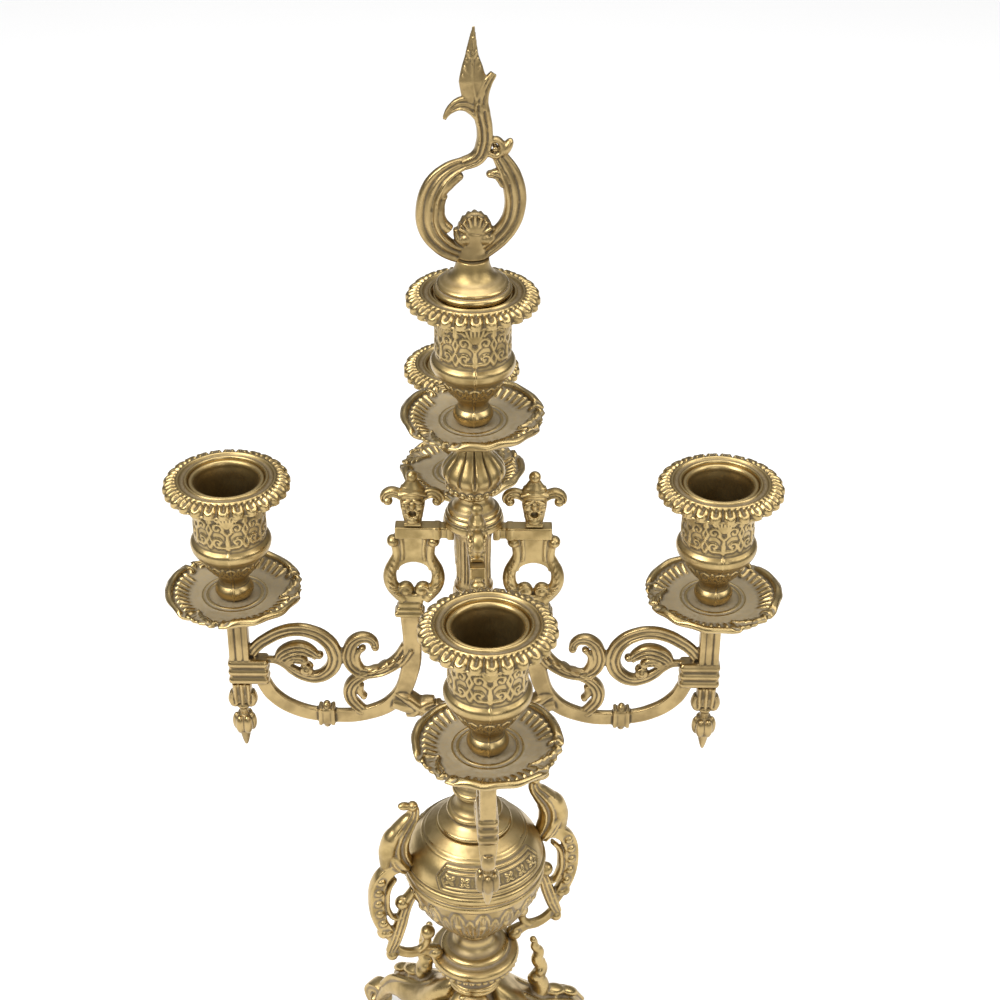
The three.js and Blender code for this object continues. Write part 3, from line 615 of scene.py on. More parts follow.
def makeCup():
    obj = turnedPiece("cup", cup["outline"], around=240, spacing=0.5, closed=False)
    carving, bandCarving = cupCarving(), cupBand()

    def carve(angle, radius, up, normals):
        outside = ramp(normals[:, 0] * np.cos(angle) + normals[:, 1] * np.sin(angle), 0.2, 0.5)
        along = folded(angle + math.pi / 2, cup["panels"]) * math.pi * cup["bodyRadius"] / cup["panels"]
        rise = strokeHeight(along, up, carving, 0.95) * band(up, cup["bodyFoot"], cup["bodyTop"], 0.8)
        along = folded(angle, cup["bandRepeats"]) * math.pi * cup["bandRadius"] / cup["bandRepeats"]
        inBand = band(up, cup["bandFoot"], cup["bandTop"], 0.6)
        rise += 0.75 * strokeHeight(along, up, bandCarving, 0.75) * inBand
        across = (angle + math.pi / 2) * radius  # the joint line of the mould, at the front
        seam = np.clip(1 - (across / 0.5) ** 2, 0, 1) * (up < cup["bodyFoot"])
        return outside * (cup["carving"] * rise + cup["seamHeight"] * seam)

    raiseRelief(obj, carve)
    angle, radius = polar(spotsOf(obj))
    up = spotsOf(obj)[:, 2]
    inBore = (radius < cup["boreRadius"]) & (up > cup["boreFoot"])
    # darker deeper down the bore: a light soot deposit with painted shade growing towards the bottom
    storeValues(obj, "boreSootAndShade", inBore * (0.15 + 0.5 * ramp(58 - up, 6, 26)))
    return markHollows(obj)


ring = {
    "outline": [
        (16.7, 55.4, 0), (16.7, 59.9), (17.2, 60.6), (17.8, 60.5), (18.3, 59.7), (19.2, 59.4), (19.9, 59.8),
        (20.5, 60.5), (21.2, 60.5), (21.9, 59.7), (22.4, 59.4), (23.2, 59.6), (25, 59.0), (26.6, 57.8),
        (27.5, 56.3), (27.3, 55.6), (26, 55.5), (23, 56.1), (20, 55.6),
    ],
    "foot": 55.4, "tongues": 26, "tongueFoot": 21.6, "tongueLength": 3.4, "pitchRadius": 25,
    "rimHeight": 0.6, "rimAway": 1.6, "rimWidth": 0.75,  # raised border of a tongue, from its spine
    "slit": 0.8, "slitWidth": 0.65, "valley": 1.1, "scallop": 1.1,
}


def makeRing():
    lowered = [(point[0], point[1] - ring["foot"], *point[2:]) for point in ring["outline"]]
    obj = turnedPiece("ring", lowered, around=ring["tongues"] * 14, spacing=0.5)
    halfPitch = math.pi * ring["pitchRadius"] / ring["tongues"]

    def tongueGap(angle, radius):  # distance from the spine of the nearest tongue
        across = (1 - folded(angle, ring["tongues"])) * halfPitch
        beyond = np.maximum(radius - ring["tongueFoot"] - ring["tongueLength"], 0)
        return np.hypot(across, beyond)

    def carve(angle, radius, up, normals):
        gap = tongueGap(angle, radius)
        border = ring["rimHeight"] * np.exp(-(((gap - ring["rimAway"]) / ring["rimWidth"]) ** 2))
        slit = ring["slit"] * np.exp(-((gap / ring["slitWidth"]) ** 2))
        between = ring["valley"] * ramp(gap, 2.45, 2.95)
        onTongue = ramp(radius, ring["tongueFoot"] - 0.2, ring["tongueFoot"] + 0.5)
        return onTongue * ramp(normals[:, 2], 0.0, 0.5) * (border - slit - between)

    raiseRelief(obj, carve)
    spots = spotsOf(obj)
    angle, radius = polar(spots)
    notch = ring["scallop"] * ramp(tongueGap(angle, radius), 2.3, 3.3) * ramp(radius, 25.2, 27)
    spots[:, :2] *= (1 - notch / radius)[:, None]
    storeSpots(obj, spots)
    return markHollows(obj)


pan = {
    "outline": [
        (0, 2.2, 0), (11.2, 2.2), (11.7, 2.5), (12.3, 2.5), (12.8, 2.1), (13.6, 2.1), (14.2, 2.4),
        (14.8, 2.2), (18.6, 2.2), (21, 2.6), (24, 3.2), (27, 3.9), (29.3, 4.9), (30.2, 5.0), (30.3, 4.3),
        (29.4, 3.3), (27, 1.9), (20, 0.3), (10, 0), (0, 0, 0),
    ],
    "repeats": 3, "lipFrom": 5, "lipTo": 84,  # degrees from the volute
    "lipRadius": 28.0, "lipHeight": 2.5, "flutes": 10, "fluteFrom": 19.4, "fluteTo": 27.2,
}


def panLeaves():
    # oblique leaves between the end of one lip and the next volute, along the rim and out from the middle
    leaves = []
    for start, reach in ((86, 21.0), (92, 22.6), (98, 24.4), (104, 26.4)):
        leaves.append([(start * 0.46, reach), (start * 0.46 + 4.5, reach + 1.9),
                       (start * 0.46 + 8.6, reach + 2.6)])
    leaves.append([(80 * 0.46, 26.2), (88 * 0.46, 28.4), (95 * 0.46, 28.9)])
    return leaves


def makePan():
    obj = turnedPiece("pan", pan["outline"], around=300, spacing=0.6, closed=False)
    leaves = panLeaves()
    slope = fullTurn / 360 * 26.4  # millimetres along the rim for each degree

    def stretch(angle):  # degrees counter-clockwise from the last volute
        return (np.degrees(angle) % 360) % (360 / pan["repeats"])

    def carve(angle, radius, up, normals):
        onTop = ramp(normals[:, 2], 0.05, 0.45)
        turn = stretch(angle)
        inLip = band(turn, pan["lipFrom"], pan["lipTo"], 6)
        fading = 1 - 0.45 * turn / pan["lipTo"]
        lip = np.exp(-(((radius - pan["lipRadius"] - 0.9 * ramp(turn, 10, 60)) / 1.3) ** 2))
        rise = pan["lipHeight"] * fading * lip * inLip
        pitch = (pan["lipTo"] - pan["lipFrom"]) / pan["flutes"]
        waves = 0.5 + 0.5 * np.cos(fullTurn * (turn - pan["lipFrom"]) / pitch)
        longFlute = ramp(radius, pan["fluteFrom"], pan["fluteFrom"] + 2.6)
        longFlute = longFlute * (1 - ramp(radius, 25.4, pan["fluteTo"]))
        swell = 0.7 + 0.75 * ramp(radius, 21, 25.5)
        fluted = band(turn, pan["lipFrom"] + 3, pan["lipTo"] + 8, 5)
        rise += 1.35 * waves ** 1.4 * longFlute * swell * fluted
        rise += 1.25 * strokeHeight(turn * 0.46, radius, leaves, 0.95, 0.3) * (turn > 76)
        volute = np.hypot((turn - 3) * slope, radius - 26.6)
        rise += 1.9 * np.sqrt(np.clip(1 - (volute / 2.9) ** 2, 0, 1))
        rise -= 0.9 * np.exp(-(((np.hypot((turn - 7.2) * slope, radius - 25.6) - 0.2) / 0.9) ** 2))
        return onTop * rise

    spots = spotsOf(obj)
    angle, radius = polar(spots)
    turn = stretch(angle)
    notch = 3.0 * np.exp(-(((turn - 117.5) / 2.6) ** 2)) + 1.6 * np.exp(-(((turn - 99) / 2.8) ** 2))
    notch += 0.8 * (1 - np.cos(fullTurn * (turn - 84) / 15)) * band(turn, 84, 116, 3)
    notch += 0.45 * (1 - np.cos(fullTurn * (turn - pan["lipFrom"]) / 26)) * band(turn, 4, 84, 6)
    spots[:, :2] *= (1 - notch * ramp(radius, 22, 30) / np.maximum(radius, 1))[:, None]
    spots[:, 2] += 0.5 * np.sin(np.radians(turn * 3)) * ramp(radius, 18, 30)
    storeSpots(obj, spots)
    raiseRelief(obj, carve)
    return markHollows(obj)


panTurn = math.radians(-37)  # first volute from the arm's own direction
centrePanTurn = math.radians(-113)


def makeLights():
    cupSource, ringSource, panSource = makeCup(), makeRing(), makePan()
    for source, ending, finish in ((cupSource, "cup", agedBrass), (ringSource, "ring", agedBrass)):
        placePiece(ownCopy(source), "centre" + ending.title(), "stand", finish,
                   ["centre_" + ending],
                   overNode("centre_" + ending))
        placeCopies(source, ending.title(), finish, "arm_" + ending,
                    lambda side: overNode(f"{side}_arm_{ending}"))
    placePiece(ownCopy(panSource), "centrePan", "stand", panBrass, ["centre_pan"],
               overNode("centre_pan", centrePanTurn))
    placeCopies(panSource, "Pan", panBrass, "arm_pan",
                lambda side: overNode(f"{side}_arm_pan", armWay(side) + panTurn))


makeLights()
print("cups, rings and pans placed")


# Turned and cast pieces of the stem, each drawn from its own foot up

knop = {
    "outline": [
        (4, 0, 0), (7.4, 0, 0), (7.8, 1.2), (7.6, 2.4), (9.2, 3.2), (10.6, 4.2), (11.0, 5.6), (11.5, 7.0),
        (13.1, 10.2), (13.4, 11.8), (12.7, 14), (10.6, 17), (8.6, 19.6), (7.3, 23), (6.7, 28), (7.2, 31),
        (9, 33.7, 0), (4, 33.7, 0),
    ],
    "ribs": 12, "ribDepth": 1.0, "beads": 20, "beadHeight": 1.3, "beadLevel": 4.6,
}


def makeKnop():
    obj = turnedPiece("knop", knop["outline"], around=240, spacing=0.5)

    def carve(angle, radius, up, normals):
        outside = (radius > 5).astype(float)
        gap = 1 - folded(angle + math.pi / 2, knop["ribs"])
        groove = np.exp(-(((1 - gap) / 0.16) ** 2)) * band(up, 7.2, 32, 3)
        swell = 0.35 * np.cos(gap * math.pi / 2) * band(up, 8, 22, 4)
        share = 1 - folded(angle, knop["beads"])
        bead = np.hypot(share * math.pi * 11 / knop["beads"] * 1.05, up - knop["beadLevel"]) / 1.55
        raised = knop["beadHeight"] * np.sqrt(np.clip(1 - bead ** 2, 0, 1))
        return outside * (raised + swell - knop["ribDepth"] * groove)

    return markHollows(raiseRelief(obj, carve))


upperHub = {
    "outline": [
        (4, 0, 0), (11.6, 0, 0), (12.9, 1), (13, 3), (12.6, 4.2, 0), (12.1, 4.6, 0), (12.4, 5.4),
        (11.6, 6.5, 0), (11.1, 6.8, 0), (11.4, 7.6), (10.6, 8.6, 0), (10.0, 8.8), (8.4, 11), (7.3, 12.9),
        (7.0, 14.8, 0), (4, 14.8, 0),
    ],
}

column = {
    "outline": [
        (4, 0, 0), (9.4, 0, 0), (9.9, 1.2), (9.5, 2.6), (8.6, 3.4, 0), (8.2, 5), (9.2, 8), (10, 12),
        (9.4, 17), (8.4, 22, 0), (8.7, 24), (8.2, 27), (8.6, 34), (9.3, 42), (9.6, 50), (8.8, 56),
        (8.3, 59.2, 0), (8.7, 60.4), (8.0, 62), (7.5, 68), (7.6, 78), (7.9, 86), (8.4, 88.4, 0),
        (8.9, 89.8), (8.4, 91.8, 0), (4, 91.8, 0),
    ],
    "panelFoot": 64, "panelTop": 87, "flutes": 8,
}


def makeColumn():
    obj = turnedPiece("column", column["outline"], around=192, spacing=0.55)

    def carve(angle, radius, up, normals):
        outside = (radius > 5).astype(float)
        across = folded(angle + math.pi / 4, column["flutes"])
        panel = band(up, column["panelFoot"], column["panelTop"], 1.4) * ramp(across, 0.28, 0.42)
        stripe = 0.5 * panel * np.exp(-(((across - 0.72) / 0.12) ** 2))
        rise = -0.55 * panel + stripe
        petal = np.sqrt(np.clip(1 - (1 - across) ** 2, 0, 1))
        leafTop = 36 + 16 * petal
        veins = 0.7 + 0.3 * np.cos(across * 3 * math.pi)
        rise += 0.9 * ramp(leafTop - up, 0, 1.2) * band(up, 26, 56, 2) * veins
        lowLeaf = 6 + 12 * petal
        rise += 0.8 * ramp(lowLeaf - up, 0, 1.2) * band(up, 4.4, 20, 2)
        return outside * rise

    return markHollows(raiseRelief(obj, carve))


vaseFoot = {
    "outline": [
        (4, 0, 0), (13, 0, 0), (13.4, 0.8), (13, 1.8), (12, 2.4), (11.6, 4), (12.2, 5.6), (13.8, 6.6),
        (14.2, 7.6), (14, 8.6), (14.5, 10.5), (16, 11.6), (19.6, 12.4, 0), (20.8, 15), (21.7, 16),
        (21.8, 17.6), (21.2, 18.8), (19.6, 19.8), (17.4, 20.4, 0), (17, 20.8), (16.6, 22), (15.2, 23),
        (12.6, 23.8), (10.6, 25.6), (9.4, 28.4), (9.2, 31), (10.2, 33.7, 0), (4, 33.7, 0),
    ],
    "beads": 40, "beadLevel": 13.7, "beadRadius": 20.2, "beadSize": 1.45,
}


def makeVaseFoot():
    obj = turnedPiece("vaseFoot", vaseFoot["outline"], around=320, spacing=0.6)

    def carve(angle, radius, up, normals):
        outside = (radius > 5).astype(float)
        share = 1 - folded(angle, vaseFoot["beads"])
        across = share * math.pi * vaseFoot["beadRadius"] / vaseFoot["beads"]
        bead = np.hypot(across, np.hypot(up - vaseFoot["beadLevel"], radius - vaseFoot["beadRadius"]))
        raised = 1.3 * np.sqrt(np.clip(1 - (bead / vaseFoot["beadSize"]) ** 2, 0, 1))
        return outside * raised

    return markHollows(raiseRelief(obj, carve))


bowl = {
    "outline": [
        (4, 0, 0), (9.9, 0, 0), (10.4, 1.2), (12, 2.6), (13, 4.2), (15.5, 7.5), (19.5, 12), (24, 17.5),
        (28, 24), (30.8, 30.5), (32.3, 36), (32.6, 37.4, 0), (33.4, 38), (33.9, 39.4), (33.5, 40.8),
        (32.9, 41.3, 0), (33.1, 42), (33.3, 42.7, 0), (30, 42.7, 0), (28.5, 34), (24, 22), (16, 12),
        (10, 8), (4, 7, 0),
    ],
    "leaves": 16, "leafFoot": 3.5, "leafTip": 36.8, "leafRise": 1.25,
}


def makeBowl():
    obj = turnedPiece("bowl", bowl["outline"], around=320, spacing=0.65)

    def carve(angle, radius, up, normals):
        outside = ramp(normals[:, 0] * np.cos(angle) + normals[:, 1] * np.sin(angle), -0.1, 0.3)
        share = 1 - folded(angle, bowl["leaves"])  # 0 along the middle of a leaf
        rise = np.zeros_like(up)
        for offset, tip, width in ((0, bowl["leafTip"], 0.82), (1, bowl["leafTip"] - 5.5, 0.62)):
            across = np.abs(share - offset)
            climb = np.clip((up - bowl["leafFoot"]) / (tip - bowl["leafFoot"]), 0, 1)
            reach = width * np.sqrt(np.clip(1 - climb ** 3.2, 0, 1))
            inside = ramp(reach - across, -0.06, 0.10) * (up > bowl["leafFoot"]) * (up < tip)
            edge = np.exp(-(((reach - across - 0.1) / 0.09) ** 2)) * inside
            vein = np.exp(-((across / 0.10) ** 2)) * inside
            rib = 0.18 * np.cos(across * 22 - climb * 5) * inside
            rise = np.maximum(rise, inside * 0.45 + 0.42 * edge + 0.5 * vein + rib)
        eye = np.hypot(share * 5.6, up - 25.5)
        rise += 0.7 * np.sqrt(np.clip(1 - (eye / 2.2) ** 2, 0, 1))
        return outside * bowl["leafRise"] * rise

    return markHollows(raiseRelief(obj, carve))


shoulder = {
    "outline": [
        (33.2, 0, 0), (33.9, 0.8), (34.3, 2.2), (33.7, 3.8), (32.8, 4.2, 0), (32.9, 4.8), (32.6, 6.6),
        (31.7, 9.8), (29.8, 13.6), (26.9, 17.2), (23.2, 20.6), (19.6, 23), (18, 24, 0), (4, 24, 0),
        (4, 22.2, 0), (16, 22), (24, 16.4), (28.6, 9), (30.2, 0, 0),
    ],
    "panels": 2, "frameLow": 6.8, "frameHigh": 17.0, "frameHalf": 52, "flowers": 7, "flowerPitch": 13.5,
}


def makeShoulder():
    obj = turnedPiece("shoulder", shoulder["outline"], around=360, spacing=0.5)
    low, high, half = shoulder["frameLow"], shoulder["frameHigh"], shoulder["frameHalf"]
    middle = (low + high) / 2
    outer = [(0, high), (half - 5, high), (half, middle), (half - 5, low), (0, low)]
    inner = [(0, high - 1.9), (half - 8, high - 1.9), (half - 4.2, middle), (half - 8, low + 1.9),
             (0, low + 1.9)]

    def carve(angle, radius, up, normals):
        outward = normals[:, 0] * np.cos(angle) + normals[:, 1] * np.sin(angle)
        outside = ramp(outward + normals[:, 2], 0.1, 0.6)
        turn = np.degrees(angle + math.pi / 2)
        apart = 360 / shoulder["panels"]
        turn = (turn + apart / 2) % apart - apart / 2  # degrees from the middle of a panel
        scale = 0.5  # millimetres to each degree
        stretched = [[(a * scale, b) for a, b in line] for line in (outer, inner)]
        rise = 0.75 * strokeHeight(np.abs(turn) * scale, up, stretched, 0.62, 0)
        inRow = np.abs(turn) < shoulder["flowers"] / 2 * shoulder["flowerPitch"]
        shifted = (turn + shoulder["flowerPitch"] / 2) % shoulder["flowerPitch"] - shoulder["flowerPitch"] / 2
        across, above = shifted * scale * 1.0, up - middle
        reach, way = np.hypot(across, above), np.arctan2(above, across)
        petals = 2.0 + 0.75 * np.cos(4 * way - math.pi)
        flower = ramp(petals - reach, -0.1, 0.5) * (0.5 + 0.5 * ramp(reach, 0.3, 1.4))
        flower += 0.5 * np.sqrt(np.clip(1 - (reach / 0.7) ** 2, 0, 1))
        rise += 0.95 * flower * inRow
        for level in (19.0, 20.4, 5.4):
            rise += 0.22 * np.exp(-(((up - level) / 0.3) ** 2))
        return outside * rise * (radius > 16)

    return markHollows(raiseRelief(obj, carve))


vaseNeck = {
    "outline": [
        (4, 0, 0), (17, 0, 0), (17.6, 0.8), (17.4, 1.9), (16.2, 2.6, 0), (15.2, 3.2), (13.4, 4.4), (12, 6),
        (12, 6.6, 0), (12.9, 7.2), (13.2, 8.2), (12.6, 9.2), (11, 9.8, 0), (9.6, 11), (8.6, 13), (8.4, 16),
        (9.6, 18.5, 0), (4, 18.5, 0),
    ],
}

baluster = {
    "outline": [
        (4, 0, 0), (9.6, 0, 0), (10.4, 1), (10.2, 2.4), (9.0, 3.2, 0), (8.0, 5), (8.4, 8), (10.4, 13),
        (12, 18), (11.8, 22), (9.8, 26), (7.6, 29.6), (7.2, 32, 0), (8.6, 33), (9, 34.2), (8.2, 35.4, 0),
        (8.6, 37), (9.6, 38.5, 0), (4, 38.5, 0),
    ],
    "lobes": 12, "lobeFoot": 6, "lobeTop": 29,
}


def makeBaluster():
    obj = turnedPiece("baluster", baluster["outline"], around=192, spacing=0.6)

    def carve(angle, radius, up, normals):
        outside = (radius > 5).astype(float)
        share = folded(angle, baluster["lobes"])
        groove = np.exp(-((share / 0.2) ** 2)) * band(up, baluster["lobeFoot"], baluster["lobeTop"], 4)
        return -0.8 * outside * groove

    return markHollows(raiseRelief(obj, carve))


lowerHub = {
    "outline": [
        (4, 0, 0), (9.8, 0, 0), (10.8, 1), (10.8, 2.2), (9.8, 3, 0), (9.4, 4.2), (10.4, 6), (12, 7.6),
        (12.3, 9.2), (12, 10.6), (10.6, 11.8, 0), (10.2, 12.6), (10.8, 13.8), (10.4, 15, 0), (9.8, 16),
        (9.6, 17.7, 0), (4, 17.7, 0),
    ],
}


def makePlainTurned(name, piece):
    return markHollows(turnedPiece(name, piece["outline"], around=160, spacing=0.6))


baseDome = {  # heights from the floor
    "outline": [
        (36, 17.5, 0), (37, 19), (37, 21.5), (35.8, 24, 0), (35, 25.5), (33, 31), (28, 38), (22, 44),
        (16, 50), (13, 54), (12.6, 55.4, 0), (12.9, 56.2), (12.2, 57.6), (9.8, 58.6, 0), (9, 60), (9, 63),
        (10.4, 65), (11, 65.6, 0), (12.4, 66.6), (13, 68.2), (12.6, 70, 0), (4, 70, 0), (4, 44, 0),
        (9.9, 44, 0), (20, 36), (29, 26), (32.5, 17.5, 0),
    ],
    "foot": 17.5, "leaves": 6, "leafTop": 52, "leafFoot": 25,
}


def makeBaseDome():
    lowered = [(point[0], point[1] - baseDome["foot"], *point[2:]) for point in baseDome["outline"]]
    obj = turnedPiece("baseDome", lowered, around=256, spacing=0.8)

    def carve(angle, radius, up, normals):
        outward = normals[:, 0] * np.cos(angle) + normals[:, 1] * np.sin(angle)
        outside = ramp(normals[:, 2] + 0.4 * outward, 0.05, 0.4)
        height = up + baseDome["foot"]
        share = 1 - folded(angle, baseDome["leaves"])
        low, high = baseDome["leafFoot"], baseDome["leafTop"]
        climb = np.clip((height - low) / (high - low), 0, 1)
        reach = 0.85 * np.sqrt(np.clip(1 - climb ** 2.4, 0, 1))
        inside = ramp(reach - share, -0.04, 0.08) * band(height, low, high, 1)
        ribs = 0.35 * np.cos(share * 19 - climb * 4) * inside
        vein = 0.7 * np.exp(-((share / 0.07) ** 2)) * inside
        return outside * (0.6 * inside + ribs + vein)

    return markHollows(raiseRelief(obj, carve))


finialFoot = {
    "outline": [
        (0, 0, 0), (15.2, 0, 0), (15.9, 0.6), (16, 1.8), (15.2, 2.8, 0), (14.4, 3.0), (14.7, 4.0),
        (14, 4.9, 0), (13.4, 5.2), (12.4, 5.9), (9.6, 7.6), (7.8, 10), (6.9, 12.6), (6.6, 15, 0),
        (0, 15, 0),
    ],
}


def makeStem():
    stem = [
        (makeBaseDome(), "baseDome", "base_body", vaseBrass, 0),
        (makeVaseFoot(), "vaseFoot", "vase_foot", vaseBrass, vaseTurn),
        (makeBowl(), "vaseBowl", "vase_bowl", vaseBrass, vaseTurn),
        (makeShoulder(), "vaseShoulder", "vase_shoulder", agedBrass, vaseTurn),
        (makePlainTurned("neck", vaseNeck), "vaseNeck", "vase_neck", agedBrass, 0),
        (makeBaluster(), "balusterTurning", "baluster", agedBrass, 0),
        (makePlainTurned("hub", lowerHub), "lowerHub", "lower_hub", agedBrass, 0),
        (makeColumn(), "columnTube", "column", scrollBrass, 0),
        (makePlainTurned("collar", upperHub), "upperHub", "upper_hub", agedBrass, 0),
        (makeKnop(), "ribbedKnop", "knop", agedBrass, 0),
    ]
    for obj, name, node, finish, turn in stem:
        placePiece(obj, name, "stand", finish, [node], overNode(node, turn))
    foot = turnedPiece("foot", finialFoot["outline"], around=160, spacing=0.5, closed=False)
    placePiece(markHollows(foot), "finialFoot", "finial", vaseBrass, ["finial_foot"],
               overNode("finial_foot"))


makeStem()
print("stem placed")


# Arms, each drawn once in the upright plane along +X and copied round the stem

scroll = {
    "bigC": [
        (96, 254, 3.2), (91.5, 245.5, 3.3), (81.5, 237.7, 3.3), (67.5, 234.2, 3.2), (48, 235.8, 3.3),
        (35.5, 243.9, 3.6), (28.9, 260, 4.0), (27.6, 275, 4.0), (28.4, 291, 4.1),
    ],
    "volute": [
        (100.6, 268.4, 2.6), (97, 273.2, 2.7), (92.8, 276.6, 2.8), (86.7, 280.2, 2.9), (79.8, 281.9, 3.0),
        (73.1, 280.9, 3.1), (66.6, 276.8, 3.3), (63.1, 270.4, 3.5), (63.1, 263.6, 3.5), (66.3, 258.4, 3.3),
        (71.5, 255.6, 3.0), (76.8, 256.3, 2.7), (81.5, 259, 2.4), (85.1, 262.2, 2.0), (89.2, 264.6, 1.8),
        (95, 265, 1.8),
    ],
    "curlLeaf": [(88.8, 265, 1.8), (86.2, 268.8, 3.0), (81.8, 271.4, 3.4), (77.5, 271.8, 3.4),
                 (73, 269.4, 2.8), (70.6, 266.4, 1.7)],
    "curlSide": [(85, 262.8, 1.4), (82.5, 265.2, 2.1), (79, 265.8, 2.3), (76, 264.1, 1.9)],
    "leafScroll": [
        (44.2, 272.6, 1.9), (45.6, 276.2, 2.2), (49.4, 277.8, 2.6), (53.6, 275.8, 2.9), (56, 271.2, 3.0),
        (56.3, 265.4, 2.9), (54.3, 261.2, 2.8), (50.5, 258.8, 2.8), (44.3, 259.1, 2.9), (38.8, 261.8, 3.1),
        (33.6, 266.4, 3.3), (29.6, 273.2, 3.3),
    ],
    "leafInner": [(50.6, 260.6, 1.5), (52.4, 264.6, 1.6), (52.2, 269.2, 1.5), (49.8, 271.8, 1.3)],
    "lowLeaf": [(47.2, 257.4, 1.9), (52.4, 255.2, 2.6), (56.2, 250.6, 2.9), (56.4, 244.8, 2.8),
                (53.6, 240.2, 2.6), (50.4, 236.8, 2.3)],
    "lowLeafCurl": [(51.2, 251.8, 1.5), (51.8, 247.8, 1.8), (49.6, 244.6, 1.6)],
    "branch": [(37, 242, 3.2), (31, 240.5, 4.2), (22, 238.4, 4.4), (12, 237.5, 4.0)],
    "branchLeaves": [
        [(35.5, 247.5, 1.4), (30.5, 245.4, 2.7), (25, 240.8, 2.9), (19.5, 236, 1.9)],
        [(31, 234.8, 1.2), (27.5, 236.8, 2.4), (23.2, 241.6, 2.6), (18, 243.2, 1.7)],
        [(24, 233.8, 1.1), (20, 236, 2.2), (15.5, 241.5, 2.0)],
    ],
    "rolledEnds": [  # where a leaf end rolls over: across, up, half lengths, lean
        (44.3, 272.4, (1.9, 2.3, 1.9), 0), (69.6, 267.8, (2.1, 2.6, 1.7), 30),
        (50, 272, (1.7, 2.2, 1.5), 0), (50.3, 244.8, (1.6, 2.1, 1.6), 0), (76.4, 264.4, (1.8, 2.3, 1.8), 0),
    ],
    "rosette": (75.6, 260.2),
    "knot": 67.4, "knotMiddle": 234.6,
    "cuffLow": (92.5, -4.4, 253.2), "cuffHigh": (111, 4.4, 266.5),
    "flutes": (102.3, 105.5, 108.7), "fluteTop": 298.6,
}


def bothFaces(make):  # the same raised detail on the two faces of a flat casting
    return [make(1), make(-1)]


def makeScroll():
    parts = [
        sweptBar(scroll["bigC"], hollowFace, 0.74),
        sweptBar(scroll["volute"], rolledFace, 0.86),
        sweptBar(scroll["curlLeaf"], reededFace, 1.0),
        sweptBar(scroll["curlSide"], reededFace, 1.3),
        sweptBar(scroll["leafScroll"], rolledFace, 0.95),
        sweptBar(scroll["leafInner"], roundFace, 1.3),
        sweptBar(scroll["lowLeaf"], rolledFace, 1.1),
        sweptBar(scroll["lowLeafCurl"], roundFace, 1.3),
        sweptBar(scroll["branch"], roundFace, 0.9),
    ]
    parts += [sweptBar(leaf, roundFace, 1.75) for leaf in scroll["branchLeaves"]]
    parts += [knob(x, z, size, tilt=tilt) for x, z, size, tilt in scroll["rolledEnds"]]
    x, z = scroll["rosette"]
    parts += bothFaces(lambda face: knob(x, z, (3.0, 1.1, 3.0), face * 2.1))
    parts += bothFaces(lambda face: knob(x, z, (1.3, 0.9, 1.3), face * 3.0))
    # leaf folds where the small scroll leaves the stem
    for step in range(4):
        x, z = 33 + 4.2 * step, 267 - 2.3 * step
        parts += bothFaces(lambda face: knob(x, z, (2.9, 1.1, 1.0), face * 2.1, 60 - 12 * step))
    middle, level = scroll["knot"], scroll["knotMiddle"]
    parts.append(softBlock((middle - 3.3, -3.1, level - 4.3), (middle + 3.3, 3.1, level + 4.3), 1.0))
    for x in (middle - 2.9, middle + 2.9):
        parts.append(softBlock((x - 0.9, -3.5, level - 4.7), (x + 0.9, 3.5, level + 4.7), 0.6))
    parts += [knob(middle, level + rise, (2.0, 2.6, 2.7)) for rise in (-4.6, 4.6)]
    low, high = scroll["cuffLow"], scroll["cuffHigh"]
    parts += [softBlock((low[0] + 0.8, low[1] + 0.9, low[2]), (high[0] - 0.8, high[1] - 0.9, high[2]), 0.6)]
    reed = (high[2] - low[2]) / 3
    for step in range(3):
        foot = low[2] + step * reed + 0.35
        parts.append(softBlock((low[0], low[1], foot), (high[0], high[1], foot + reed - 0.7), 1.6))
    for x in scroll["flutes"]:
        parts.append(softBlock((x - 1.35, -3.4, high[2] - 2), (x + 1.35, 3.4, scroll["fluteTop"]), 0.8))
    first, last = scroll["flutes"][0], scroll["flutes"][-1]
    parts.append(softBlock((first - 1, -2.5, high[2] - 2), (last + 1, 2.5, scroll["fluteTop"]), 0.4))
    return markHollows(castTogether("armScroll", parts, 0.42, 3))


drop = {"axis": 105.5, "top": 253, "curls": 241.2, "bead": 230.6, "tip": 216.6}


